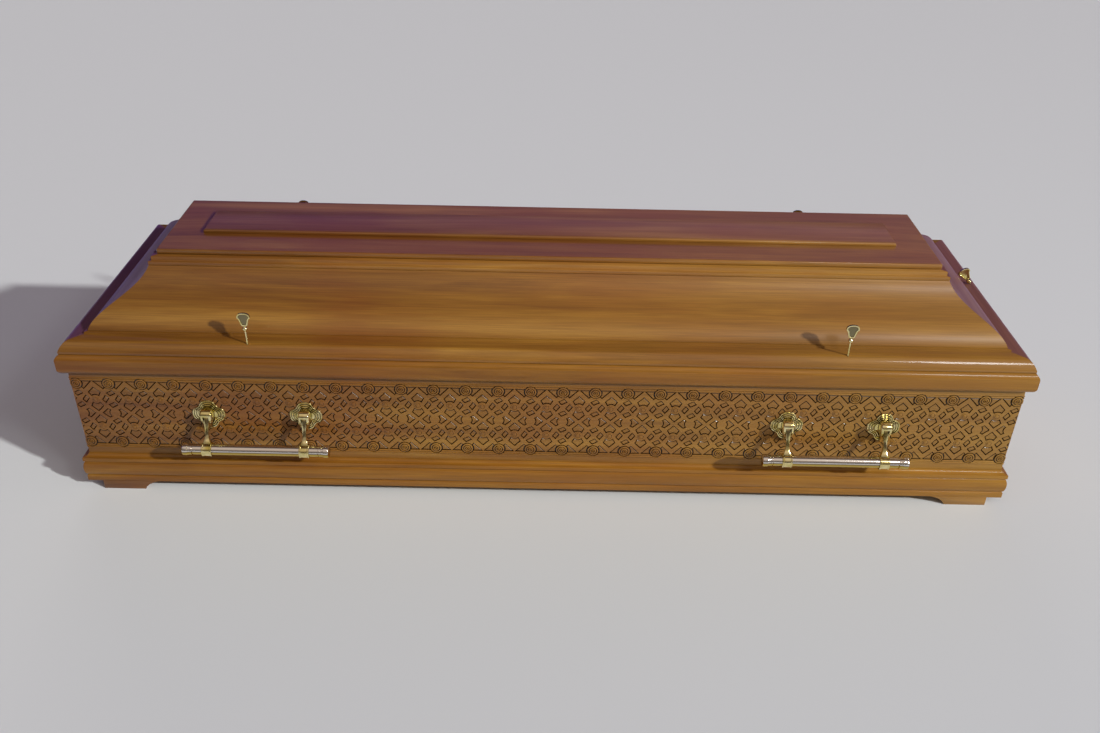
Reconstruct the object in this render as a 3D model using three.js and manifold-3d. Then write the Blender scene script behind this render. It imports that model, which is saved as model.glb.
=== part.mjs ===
// A carved wooden coffin: a hollow box on bracket feet, a hollow panelled lid that lifts off,
// four swing-bar handles and five closing screws with paddle heads.
// Millimetres, +Z up, the front long side faces -Y, the origin is on the ground under the middle.
// Around the coffin each place is an inset from the outermost edge of the rim, the same on all
// four sides, so that every moulding meets its neighbour in a 45 degree mitre.

import * as THREE from 'three';
import { mergeGeometries, mergeVertices } from 'three/addons/utils/BufferGeometryUtils.js';
import Module from 'manifold-3d';

const wasm = await Module();
wasm.setup();

// Overall plan over the rim moulding, and the gap kept between pieces that touch
const LENGTH = 2040;
const WIDTH = 630;
const GAP = 0.3;

// Box
const FOOT_HEIGHT = 22;
const FOOT_LENGTH = 125;
const FOOT_DEPTH = 100;
const FOOT_SCOOP = 33;
const FOOT_SCOOP_BEND = 0.8;
const FOOT_SCOOP_LIFT = 0.75;
const FOOT_SCOOP_STEPS = 4;
const FOOT_END_INSET = 35;
const BASE_THICKNESS = 18;
const BOX_HEIGHT = 324;
const WALL_INSET = 15;
const WALL_THICKNESS = 24;

// Plinth moulding, from the bottom: fillet, torus between two quirks, lip, cove up to the wall
const PLINTH_HEIGHT = 68;
const PLINTH_FILLET_INSET = 2.5;
const PLINTH_FILLET_HEIGHT = 13;
const PLINTH_QUIRK_INSET = 6;
const PLINTH_QUIRK_HEIGHT = 2;
const PLINTH_TORUS_HEIGHT = 35;
const PLINTH_LIP_INSET = 2;
const PLINTH_LIP_HEIGHT = 9;
const PLINTH_COVE_TOP_WIDTH = 1;
const PLINTH_COVE_BEND_WIDTH = 3;
const PLINTH_STEPS = 5;

// Rim moulding, a belt with rounded edges just under the lid
const RIM_HEIGHT = 47;
const RIM_ROUND = 14;
const RIM_STEPS = 4;

// Carved interlace of the long sides: columns a period apart, rows a quarter of the field apart
const CARVING_CENTRE = 196.3;
const CARVING_QUARTER = 37.6;
const CARVING_PERIOD = 68.6;
const CARVING_MARGIN = 5;
const POCKET_DEPTH = 5;
const POCKET_OFFSET = 19;
const LOZENGE_HALF = 13.5;
const KITE_HALF_WIDTH = 11;
const KITE_HALF_HEIGHT = 10.5;
const KITE_SHOULDER = 3.5;

// Lid rail
const RAIL_INSET = 8;
const RAIL_WIDTH = 72;
const RAIL_HEIGHT = 25;
const RAIL_ROUND_WIDTH = 19;
const RAIL_ROUND_HEIGHT = 20;
const RAIL_BEND_WIDTH = 0.4;
const RAIL_BEND_HEIGHT = 0.15;
const RAIL_STEPS = 4;
const RAIL_STEP_INSET = 51;
const RAIL_STEP_HEIGHT = 4.5;

// Lid slope: an S-shaped panel, round at its foot and hollow near its top
const SLOPE_FOOT_INSET = 57;
const SLOPE_TOP_INSET = 166;
const SLOPE_RISE = 99.5;
const SLOPE_FOOT_ANGLE = 70;
const SLOPE_TOP_ANGLE = 66;
const SLOPE_FOOT_HANDLE = 45;
const SLOPE_TOP_HANDLE = 55;
const SLOPE_THICKNESS = 14;
const SLOPE_STEPS = 8;

// Cornice, top board and raised field
const CORNICE_STEP = 6;
const CORNICE_STEP_HEIGHT = 9;
const CORNICE_HEIGHT = 18.5;
const CORNICE_WIDTH = 34;
const TOP_BOARD_INSET = 182;
const TOP_BOARD_EDGE = 12;
const TOP_BOARD_RISE = 3;
const TOP_BOARD_ROUND = 3;
const FIELD_INSET = 261;
const FIELD_HEIGHT = 8;
const FIELD_BEVEL = 3;

// Handles: places on the side, then escutcheon, hinge lug, arm and bar
const HANDLE_END_INSET = 400;
const HANDLE_CENTRE_X = LENGTH / 2 - HANDLE_END_INSET;
const HANDLE_ARM_SPACING = 208;
const ESCUTCHEON_CENTRE_Z = 200;
const ESCUTCHEON_RADIUS = 31;
const ESCUTCHEON_LOBES = 4;
const ESCUTCHEON_LOBE = 4.5;
const ESCUTCHEON_EDGE = 2.2;
const ESCUTCHEON_CROWN = 6;
const ESCUTCHEON_CROWN_SHARE = 0.6;
const ESCUTCHEON_POINTS = 16;
const LUG_REACH = 26;
const LUG_TOP = 19;
const LUG_TAIL = 36;
const LUG_WAIST_REACH = 15;
const LUG_SHOULDER_REACH = 17;
const CHEEK_THICKNESS = 7;
const CHEEK_SPLAY = 0.25;
const PIVOT_REACH = 19;
const PIVOT_RISE = 2;
const PIN_RADIUS = 3;
const PIN_CLEARANCE = 0.4;
const PIN_SIDES = 8;
const ARM_WIDTH = 11;
const ARM_THICKNESS = 9;
const ARM_CLEARANCE = 0.6;
const ARM_END_STEPS = 3;
const BAR_REACH = 45;
const BAR_DROP = 62;
const BAR_RADIUS = 11.8;
const BAR_LENGTH = 313;
const CAP_RADIUS = 13.6;
const CAP_LENGTH = 21;
const CAP_BEVEL = 2;
const COLLAR_THICKNESS = 3.4;
const COLLAR_WIDTH = 21;
const BAR_SIDES = 10;

// Closing screws
const SCREW_END_INSET = 399;
const SCREW_X = LENGTH / 2 - SCREW_END_INSET;
const SCREW_INSET = 25;
const SCREW_EXPOSED = 30;
const SCREW_DEPTH = 52;
const END_SCREW_Y = 46;
const END_SCREW_INSET = 33;
const END_SCREW_EXPOSED = 3;
const END_SCREW_DEPTH = 17;
const END_SCREW_LEAN = 35;
const SHANK_RADIUS = 2;
const SHANK_SIDES = 6;
const SCREW_COLLAR_RADIUS = 4.5;
const SCREW_COLLAR_SIDES = 6;
const SCREW_COLLAR_RINGS = 4;
const SCREW_NECK = 7;
const PADDLE_LENGTH = 35;
const PADDLE_TOP_WIDTH = 27;
const PADDLE_FOOT_WIDTH = 12;
const PADDLE_THICKNESS = 4;
const PADDLE_CORNER = 6;
const PADDLE_CORNER_STEPS = 2;

// Heights that follow
const BOX_BOTTOM = FOOT_HEIGHT;
const BASE_TOP = BOX_BOTTOM + BASE_THICKNESS;
const BOX_TOP = BOX_BOTTOM + BOX_HEIGHT;
const RAIL_BOTTOM = BOX_TOP + GAP;
const RAIL_TOP = RAIL_BOTTOM + RAIL_HEIGHT;
const SLOPE_BOTTOM = RAIL_TOP + RAIL_STEP_HEIGHT + GAP;
const SLOPE_TOP = SLOPE_BOTTOM + SLOPE_RISE;
const CORNICE_BOTTOM = SLOPE_TOP + GAP;
const CORNICE_TOP = CORNICE_BOTTOM + CORNICE_HEIGHT;
const TOP_BOARD_BOTTOM = CORNICE_TOP + GAP;
const TOP_BOARD_TOP = TOP_BOARD_BOTTOM + TOP_BOARD_EDGE + TOP_BOARD_RISE;
const FIELD_BOTTOM = TOP_BOARD_TOP + GAP;

// Finishes
const WALNUT = { color: 0x8a5a2c, roughness: 0.35, metalness: 0 };
const CARVED_WALNUT = { color: 0x7a5426, roughness: 0.4, metalness: 0 };
const BRASS = { color: 0xd8c27a, roughness: 0.18, metalness: 1 };
const NICKEL_BRASS = { color: 0xcfc3b4, roughness: 0.15, metalness: 1 };

const coffin = new THREE.Group();

// Adds one named piece to a group
function addPiece(group, name, geometry, finish) {
  const mesh = new THREE.Mesh(geometry, new THREE.MeshStandardMaterial(finish));
  mesh.name = name;
  group.add(mesh);
  return mesh;
}

// Turns a closed geometry into a solid for joining and cutting
function solidOf(geometry) {
  const bare = geometry.clone();
  bare.deleteAttribute('normal');
  bare.deleteAttribute('uv');
  const merged = mergeVertices(bare, 1e-4);
  const vertProperties = new Float32Array(merged.getAttribute('position').array);
  const triVerts = new Uint32Array(merged.getIndex().array);
  return new wasm.Manifold(new wasm.Mesh({ numProp: 3, vertProperties, triVerts }));
}

// Turns a solid back into a geometry
function geometryOf(solid) {
  const mesh = solid.getMesh();
  const geometry = new THREE.BufferGeometry();
  geometry.setAttribute('position', new THREE.BufferAttribute(mesh.vertProperties, 3));
  geometry.setIndex(new THREE.BufferAttribute(mesh.triVerts, 1));
  geometry.computeVertexNormals();
  return geometry;
}

// Moves each vertex of a geometry by a function of its place
function mapVertices(geometry, place) {
  const position = geometry.getAttribute('position');
  const point = new THREE.Vector3();
  for (let i = 0; i < position.count; i += 1) {
    point.fromBufferAttribute(position, i);
    place(point);
    position.setXYZ(i, point.x, point.y, point.z);
  }
  geometry.computeVertexNormals();
  return geometry;
}

// The four sides: the run along the side, the distance of its rim from the middle, and its turn
const SIDES = [
  { name: 'front', run: LENGTH, reach: WIDTH / 2, turn: 0 },
  { name: 'right', run: WIDTH, reach: LENGTH / 2, turn: Math.PI / 2 },
  { name: 'back', run: LENGTH, reach: WIDTH / 2, turn: Math.PI },
  { name: 'left', run: WIDTH, reach: LENGTH / 2, turn: -Math.PI / 2 },
];

// One mitred length: a profile of inset and height, run along a side and cut at 45 degrees
function mitredLength(profile, side, curveSegments) {
  const geometry = new THREE.ExtrudeGeometry(profile, {
    depth: 1, steps: 1, bevelEnabled: false, curveSegments,
  });
  return mapVertices(geometry, (point) => {
    const inset = point.x;
    const height = point.y;
    const end = point.z > 0.5 ? 1 : -1;
    point.set(end * (side.run / 2 - inset - GAP / 2), inset - side.reach, height);
  });
}

// A moulding all round, as four pieces named for their sides
function addMoulding(name, profile, finish, curveSegments) {
  for (const side of SIDES) {
    const geometry = mitredLength(profile, side, curveSegments);
    const piece = addPiece(coffin, `${name}_${side.name}`, geometry, finish);
    piece.rotation.z = side.turn;
  }
}

// A board whose edge steps through levels, each an inset and a height, from the bottom up
function steppedBoard(levels) {
  const steps = levels.length - 1;
  const geometry = new THREE.BoxGeometry(2, 2, steps, 1, 1, steps);
  return mapVertices(geometry, (point) => {
    const [inset, height] = levels[Math.round(point.z + steps / 2)];
    point.set(point.x * (LENGTH / 2 - inset), point.y * (WIDTH / 2 - inset), height);
  });
}

// Base board under the walls
function addBaseBoard() {
  const levels = [[WALL_INSET, BOX_BOTTOM], [WALL_INSET, BASE_TOP - GAP]];
  addPiece(coffin, 'base_board', steppedBoard(levels), WALNUT);
}

// Bracket feet, scooped out on the side towards the middle of the coffin
function addFeet() {
  const outline = new THREE.Shape();
  outline.moveTo(0, 0);
  outline.lineTo(FOOT_LENGTH - FOOT_SCOOP, 0);
  outline.quadraticCurveTo(
    FOOT_LENGTH - FOOT_SCOOP * FOOT_SCOOP_BEND, FOOT_HEIGHT * FOOT_SCOOP_LIFT,
    FOOT_LENGTH, FOOT_HEIGHT - GAP,
  );
  outline.lineTo(0, FOOT_HEIGHT - GAP);
  outline.closePath();
  const endX = LENGTH / 2 - FOOT_END_INSET;
  const frontY = WIDTH / 2 - PLINTH_FILLET_INSET;
  const feet = [
    ['foot_front_left', -1, -1], ['foot_front_right', 1, -1],
    ['foot_back_left', -1, 1], ['foot_back_right', 1, 1],
  ];
  for (const [name, sideX, sideY] of feet) {
    const geometry = new THREE.ExtrudeGeometry(outline, {
      depth: FOOT_DEPTH, steps: 1, bevelEnabled: false, curveSegments: FOOT_SCOOP_STEPS,
    });
    geometry.rotateX(Math.PI / 2);
    const foot = addPiece(coffin, name, geometry, WALNUT);
    const mirrored = sideX > 0;
    foot.rotation.z = mirrored ? Math.PI : 0;
    const nearY = sideY * frontY + (sideY < 0 ? FOOT_DEPTH : 0);
    foot.position.set(sideX * endX, mirrored ? nearY - FOOT_DEPTH : nearY, 0);
  }
}

function plinthProfile() {
  const back = WALL_INSET - GAP;
  const top = BOX_BOTTOM + PLINTH_HEIGHT;
  const filletTop = BOX_BOTTOM + PLINTH_FILLET_HEIGHT;
  const torusBottom = filletTop + PLINTH_QUIRK_HEIGHT;
  const torusTop = torusBottom + PLINTH_TORUS_HEIGHT;
  const lipTop = torusTop + PLINTH_QUIRK_HEIGHT + PLINTH_LIP_HEIGHT;
  const profile = new THREE.Shape();
  profile.moveTo(PLINTH_FILLET_INSET, BOX_BOTTOM);
  profile.lineTo(back, BOX_BOTTOM);
  profile.lineTo(back, top);
  profile.lineTo(back - PLINTH_COVE_TOP_WIDTH, top);
  profile.quadraticCurveTo(back - PLINTH_COVE_BEND_WIDTH, lipTop, PLINTH_LIP_INSET, lipTop);
  profile.lineTo(PLINTH_LIP_INSET, lipTop - PLINTH_LIP_HEIGHT);
  profile.lineTo(PLINTH_QUIRK_INSET, torusTop);
  profile.absellipse(
    PLINTH_QUIRK_INSET, (torusTop + torusBottom) / 2, PLINTH_QUIRK_INSET, PLINTH_TORUS_HEIGHT / 2,
    Math.PI / 2, Math.PI * 1.5, false,
  );
  profile.lineTo(PLINTH_FILLET_INSET, filletTop);
  profile.closePath();
  return profile;
}

function wallProfile() {
  const profile = new THREE.Shape();
  profile.moveTo(WALL_INSET, BASE_TOP);
  profile.lineTo(WALL_INSET + WALL_THICKNESS, BASE_TOP);
  profile.lineTo(WALL_INSET + WALL_THICKNESS, BOX_TOP);
  profile.lineTo(WALL_INSET, BOX_TOP);
  profile.closePath();
  return profile;
}

function rimProfile() {
  const back = WALL_INSET - GAP;
  const bottom = BOX_TOP - RIM_HEIGHT;
  const profile = new THREE.Shape();
  profile.moveTo(back, bottom);
  profile.lineTo(back, BOX_TOP);
  profile.absarc(RIM_ROUND, BOX_TOP - RIM_ROUND, RIM_ROUND, Math.PI / 2, Math.PI, false);
  profile.absarc(RIM_ROUND, bottom + RIM_ROUND, RIM_ROUND, Math.PI, Math.PI * 1.5, false);
  profile.closePath();
  return profile;
}

function railProfile() {
  const inner = RAIL_INSET + RAIL_WIDTH;
  const profile = new THREE.Shape();
  profile.moveTo(RAIL_INSET, RAIL_BOTTOM);
  profile.lineTo(inner, RAIL_BOTTOM);
  profile.lineTo(inner, RAIL_TOP + RAIL_STEP_HEIGHT);
  profile.lineTo(RAIL_STEP_INSET, RAIL_TOP + RAIL_STEP_HEIGHT);
  profile.lineTo(RAIL_STEP_INSET, RAIL_TOP);
  profile.lineTo(RAIL_INSET + RAIL_ROUND_WIDTH, RAIL_TOP);
  profile.quadraticCurveTo(
    RAIL_INSET + RAIL_ROUND_WIDTH * RAIL_BEND_WIDTH, RAIL_TOP - RAIL_ROUND_HEIGHT * RAIL_BEND_HEIGHT,
    RAIL_INSET, RAIL_TOP - RAIL_ROUND_HEIGHT,
  );
  profile.closePath();
  return profile;
}

// The slope's outer face, as a curve of inset and height
function slopeCurve() {
  const foot = new THREE.Vector2(SLOPE_FOOT_INSET, SLOPE_BOTTOM);
  const top = new THREE.Vector2(SLOPE_TOP_INSET, SLOPE_TOP);
  const footAngle = THREE.MathUtils.degToRad(SLOPE_FOOT_ANGLE);
  const topAngle = THREE.MathUtils.degToRad(SLOPE_TOP_ANGLE);
  const leave = new THREE.Vector2(Math.cos(footAngle), Math.sin(footAngle));
  const arrive = new THREE.Vector2(Math.cos(topAngle), Math.sin(topAngle));
  return new THREE.CubicBezierCurve(
    foot,
    foot.clone().addScaledVector(leave, SLOPE_FOOT_HANDLE),
    top.clone().addScaledVector(arrive, -SLOPE_TOP_HANDLE),
    top,
  );
}

function slopeProfile() {
  const curve = slopeCurve();
  const outer = curve.getPoints(SLOPE_STEPS);
  const inner = outer.map((point, i) => {
    const tangent = curve.getTangent(i / SLOPE_STEPS);
    return new THREE.Vector2(
      point.x + tangent.y * SLOPE_THICKNESS, point.y - tangent.x * SLOPE_THICKNESS,
    );
  });
  // Both ends of the inner face are carried on to the level of the outer one
  const footShift = (SLOPE_BOTTOM - inner[0].y) / Math.tan(THREE.MathUtils.degToRad(SLOPE_FOOT_ANGLE));
  const topShift = (SLOPE_TOP - inner[SLOPE_STEPS].y) / Math.tan(THREE.MathUtils.degToRad(SLOPE_TOP_ANGLE));
  inner[0].set(inner[0].x + footShift, SLOPE_BOTTOM);
  inner[SLOPE_STEPS].set(inner[SLOPE_STEPS].x + topShift, SLOPE_TOP);
  return new THREE.Shape([...inner, ...outer.reverse()]);
}

function corniceProfile() {
  const outer = SLOPE_TOP_INSET;
  const profile = new THREE.Shape();
  profile.moveTo(outer, CORNICE_BOTTOM);
  profile.lineTo(outer + CORNICE_WIDTH, CORNICE_BOTTOM);
  profile.lineTo(outer + CORNICE_WIDTH, CORNICE_TOP);
  profile.lineTo(outer + CORNICE_STEP, CORNICE_TOP);
  profile.lineTo(outer + CORNICE_STEP, CORNICE_BOTTOM + CORNICE_STEP_HEIGHT);
  profile.lineTo(outer, CORNICE_BOTTOM + CORNICE_STEP_HEIGHT);
  profile.closePath();
  return profile;
}

function addTopBoards() {
  const bottom = TOP_BOARD_BOTTOM;
  const edge = bottom + TOP_BOARD_EDGE;
  const boardLevels = [
    [TOP_BOARD_INSET, bottom],
    [TOP_BOARD_INSET, edge - TOP_BOARD_ROUND],
    [TOP_BOARD_INSET + TOP_BOARD_ROUND, edge],
    [FIELD_INSET, TOP_BOARD_TOP],
  ];
  addPiece(coffin, 'lid_top_board', steppedBoard(boardLevels), WALNUT);
  const fieldLevels = [
    [FIELD_INSET, FIELD_BOTTOM],
    [FIELD_INSET, FIELD_BOTTOM + FIELD_HEIGHT - FIELD_BEVEL],
    [FIELD_INSET + FIELD_BEVEL, FIELD_BOTTOM + FIELD_HEIGHT],
  ];
  addPiece(coffin, 'lid_raised_field', steppedBoard(fieldLevels), WALNUT);
}

// One tapering pocket in a face, a lozenge or a kite whose shoulders are set towards one tip
function pocketCutter(pocket, faceY) {
  const over = 1;
  const grow = (POCKET_DEPTH + over) / POCKET_DEPTH;
  const cutter = new THREE.ConeGeometry(1, 1, 4);
  cutter.translate(0, 0.5, 0);
  const turn = pocket.turn;
  return mapVertices(cutter, (point) => {
    const shoulder = Math.abs(point.x) * pocket.shoulder;
    const across = point.x * pocket.halfWidth * grow;
    const along = (point.z * pocket.halfHeight + shoulder) * grow;
    point.set(
      pocket.x + across * Math.cos(turn) - along * Math.sin(turn),
      faceY - over + point.y * (POCKET_DEPTH + over),
      pocket.z + across * Math.sin(turn) + along * Math.cos(turn),
    );
  });
}

function kite(x, z, turn) {
  return {
    x, z, turn, halfWidth: KITE_HALF_WIDTH, halfHeight: KITE_HALF_HEIGHT, shoulder: -KITE_SHOULDER,
  };
}

function lozenge(x, z) {
  return { x, z, turn: 0, halfWidth: LOZENGE_HALF, halfHeight: LOZENGE_HALF, shoulder: 0 };
}

// The pockets between the crossing bands of one side
function pocketsOf(side) {
  const edge = side.run / 2 - WALL_INSET - CARVING_MARGIN;
  const pockets = [];
  const columns = Math.ceil(edge / CARVING_PERIOD);
  for (let column = -columns; column <= columns; column += 1) {
    const peakX = column * CARVING_PERIOD;
    const rosetteX = peakX + CARVING_PERIOD / 2;
    for (const row of [-1, 1]) {
      const knotZ = CARVING_CENTRE + row * CARVING_QUARTER;
      pockets.push(kite(peakX, knotZ + POCKET_OFFSET, 0));
      pockets.push(kite(peakX, knotZ - POCKET_OFFSET, Math.PI));
      pockets.push(lozenge(rosetteX, knotZ));
    }
    pockets.push(lozenge(rosetteX, CARVING_CENTRE));
  }
  return pockets.filter((pocket) => Math.abs(pocket.x) + pocket.halfWidth < edge);
}

// A long side with the carving's pockets cut into its outer face
function addCarvedPanel(name, side) {
  const faceY = WALL_INSET - side.reach;
  const cutters = pocketsOf(side).map((pocket) => pocketCutter(pocket, faceY));
  const board = solidOf(mitredLength(wallProfile(), side, 1));
  const holes = screwHoles(side);
  const carved = board.subtract(solidOf(mergeGeometries(cutters))).subtract(holes);
  const panel = addPiece(coffin, name, geometryOf(carved), CARVED_WALNUT);
  panel.rotation.z = side.turn;
}

// The same length left plain, for the ends of the box
function addPlainPanel(name, side) {
  const panel = addPiece(coffin, name, mitredLength(wallProfile(), side, 1), WALNUT);
  panel.rotation.z = side.turn;
}

// A hole round a shank that goes a depth below the origin, its sides clear of the shank's corners
function shankHole(depth) {
  const radius = (SHANK_RADIUS + GAP) / Math.cos(Math.PI / SHANK_SIDES);
  const length = depth + GAP + SCREW_COLLAR_RADIUS;
  const hole = new THREE.CylinderGeometry(radius, radius, length, SHANK_SIDES);
  hole.rotateX(Math.PI / 2);
  hole.translate(0, 0, length / 2 - depth - GAP);
  return hole;
}

// The holes that two closing screws need in the front or back, in that side's own frame
function screwHoles(side) {
  const holes = [-1, 1].map((end) => {
    const hole = shankHole(SCREW_DEPTH);
    hole.translate(end * SCREW_X, SCREW_INSET - side.reach, RAIL_TOP);
    return hole;
  });
  return solidOf(mergeGeometries(holes));
}

// The slanted hole of the screw in the right end rail, in that side's own frame
function endScrewHole(side) {
  const hole = shankHole(END_SCREW_DEPTH);
  hole.rotateX(-THREE.MathUtils.degToRad(END_SCREW_LEAN));
  hole.translate(END_SCREW_Y, END_SCREW_INSET - side.reach, RAIL_TOP);
  return solidOf(hole);
}

// The lid's rails, with the holes for the closing screws
function addRails() {
  const profile = railProfile();
  for (const side of SIDES) {
    let rail = solidOf(mitredLength(profile, side, RAIL_STEPS));
    if (side.name === 'front' || side.name === 'back') {
      rail = rail.subtract(screwHoles(side));
    }
    if (side.name === 'right') {
      rail = rail.subtract(endScrewHole(side));
    }
    const piece = addPiece(coffin, `lid_rail_${side.name}`, geometryOf(rail), WALNUT);
    piece.rotation.z = side.turn;
  }
}

// A closing screw standing on the origin: shank, collar and paddle head facing -Y
function closingScrew(exposed, depth) {
  const shankLength = exposed + depth + SCREW_COLLAR_RADIUS;
  const shank = new THREE.CylinderGeometry(SHANK_RADIUS, SHANK_RADIUS, shankLength, SHANK_SIDES);
  shank.rotateX(Math.PI / 2);
  shank.translate(0, 0, shankLength / 2 - depth);
  const collar = new THREE.SphereGeometry(
    SCREW_COLLAR_RADIUS, SCREW_COLLAR_SIDES, SCREW_COLLAR_RINGS,
  );
  collar.rotateX(Math.PI / 2);
  collar.translate(0, 0, exposed + SCREW_COLLAR_RADIUS);
  const foot = exposed + SCREW_NECK;
  const top = foot + PADDLE_LENGTH;
  const outline = new THREE.Shape();
  outline.moveTo(-PADDLE_FOOT_WIDTH / 2, foot);
  outline.lineTo(PADDLE_FOOT_WIDTH / 2, foot);
  outline.lineTo(PADDLE_TOP_WIDTH / 2, top - PADDLE_CORNER);
  outline.quadraticCurveTo(PADDLE_TOP_WIDTH / 2, top, PADDLE_TOP_WIDTH / 2 - PADDLE_CORNER, top);
  outline.lineTo(PADDLE_CORNER - PADDLE_TOP_WIDTH / 2, top);
  outline.quadraticCurveTo(-PADDLE_TOP_WIDTH / 2, top, -PADDLE_TOP_WIDTH / 2, top - PADDLE_CORNER);
  outline.closePath();
  const paddle = new THREE.ExtrudeGeometry(outline, {
    depth: PADDLE_THICKNESS, steps: 1, bevelEnabled: false, curveSegments: PADDLE_CORNER_STEPS,
  });
  paddle.translate(0, 0, -PADDLE_THICKNESS / 2);
  paddle.rotateX(Math.PI / 2);
  return geometryOf(solidOf(shank).add(solidOf(collar)).add(solidOf(paddle)));
}

function addClosingScrews() {
  const rimY = WIDTH / 2 - SCREW_INSET;
  const places = [
    ['closing_screw_front_left', -SCREW_X, -rimY], ['closing_screw_front_right', SCREW_X, -rimY],
    ['closing_screw_back_left', -SCREW_X, rimY], ['closing_screw_back_right', SCREW_X, rimY],
  ];
  for (const [name, x, y] of places) {
    const screw = addPiece(coffin, name, closingScrew(SCREW_EXPOSED, SCREW_DEPTH), BRASS);
    screw.position.set(x, y, RAIL_TOP);
  }
  const endScrew = closingScrew(END_SCREW_EXPOSED, END_SCREW_DEPTH);
  const screw = addPiece(coffin, 'closing_screw_right_end', endScrew, BRASS);
  screw.rotation.y = -THREE.MathUtils.degToRad(END_SCREW_LEAN);
  screw.position.set(LENGTH / 2 - END_SCREW_INSET, END_SCREW_Y, RAIL_TOP);
}

// Outline of an escutcheon: four round lobes with hollows between them
function escutcheonOutline() {
  const points = [];
  for (let i = 0; i < ESCUTCHEON_POINTS; i += 1) {
    const angle = (i / ESCUTCHEON_POINTS) * Math.PI * 2;
    const radius = ESCUTCHEON_RADIUS + ESCUTCHEON_LOBE * Math.cos(ESCUTCHEON_LOBES * angle);
    points.push(new THREE.Vector2(radius * Math.cos(angle), radius * Math.sin(angle)));
  }
  return points;
}

// Crowned plate of an escutcheon, its back at the wall's face and its front towards -Y
function escutcheonPlate() {
  const levels = [GAP, ESCUTCHEON_EDGE, ESCUTCHEON_CROWN];
  const steps = levels.length - 1;
  const plate = new THREE.ExtrudeGeometry(new THREE.Shape(escutcheonOutline()), {
    depth: steps, steps, bevelEnabled: false,
  });
  plate.rotateX(Math.PI / 2);
  return mapVertices(plate, (point) => {
    const level = Math.round(-point.y);
    const share = level === steps ? ESCUTCHEON_CROWN_SHARE : 1;
    point.set(point.x * share, -levels[level], point.z * share);
  });
}

// Places in the plane of an arm's swing: how far out of the wall, and how high from the plate's centre
const PIVOT = new THREE.Vector2(PIVOT_REACH, PIVOT_RISE);
const BAR_AXIS = new THREE.Vector2(BAR_REACH, -BAR_DROP);
const ARM_LINE = BAR_AXIS.clone().sub(PIVOT);
const ARM_WAY = ARM_LINE.clone().normalize();
const ARM_FRONT = new THREE.Vector2(-ARM_WAY.y, ARM_WAY.x);

// Extrudes an outline of reach and height across a width, centred on x = 0
function swingPlaneSolid(points, width) {
  const geometry = new THREE.ExtrudeGeometry(new THREE.Shape(points), {
    depth: 1, steps: 1, bevelEnabled: false,
  });
  return mapVertices(geometry, (point) => {
    point.set((0.5 - point.z) * width, -point.x, point.y);
  });
}

// A pin or bore along X at a place in the swing plane
function crossCylinder(radius, width, place, sides) {
  const cylinder = new THREE.CylinderGeometry(radius, radius, width, sides);
  cylinder.rotateZ(Math.PI / 2);
  cylinder.translate(0, -place.x, place.y);
  return cylinder;
}

// Escutcheon with its hinge lug: two splayed cheeks bored for the arm's pin, a web behind the arm
// that it hangs against, and a bridge above that stops it level
function escutcheon() {
  const lugWidth = ARM_WIDTH + 2 * (ARM_CLEARANCE + CHEEK_THICKNESS);
  const lug = swingPlaneSolid([
    new THREE.Vector2(ESCUTCHEON_EDGE, LUG_TOP),
    new THREE.Vector2(ESCUTCHEON_EDGE, -LUG_TAIL),
    new THREE.Vector2(LUG_WAIST_REACH, -LUG_TAIL / 2),
    new THREE.Vector2(LUG_REACH, -PIN_RADIUS),
    new THREE.Vector2(LUG_REACH, LUG_TOP / 2),
    new THREE.Vector2(LUG_SHOULDER_REACH, LUG_TOP),
  ], lugWidth);
  mapVertices(lug, (point) => {
    point.x *= 1 + ((LUG_REACH + point.y) / lugWidth) * 2 * CHEEK_SPLAY;
  });
  const back = ARM_THICKNESS / 2 + ARM_CLEARANCE;
  const behindPivot = PIVOT.clone().addScaledVector(ARM_FRONT, -back);
  const behindArm = behindPivot.clone().addScaledVector(ARM_WAY, ARM_LINE.length());
  const slot = swingPlaneSolid([
    new THREE.Vector2(PIVOT.x - back, PIVOT.y),
    behindPivot,
    behindArm,
    new THREE.Vector2(BAR_REACH, behindArm.y),
    new THREE.Vector2(BAR_REACH, PIVOT.y + back),
    new THREE.Vector2(PIVOT.x - back, PIVOT.y + back),
  ], ARM_WIDTH + 2 * ARM_CLEARANCE);
  const bore = crossCylinder(PIN_RADIUS + PIN_CLEARANCE, lugWidth * 2, PIVOT, PIN_SIDES);
  const body = solidOf(escutcheonPlate()).add(solidOf(lug));
  return geometryOf(body.subtract(solidOf(slot)).subtract(solidOf(bore)));
}

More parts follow.
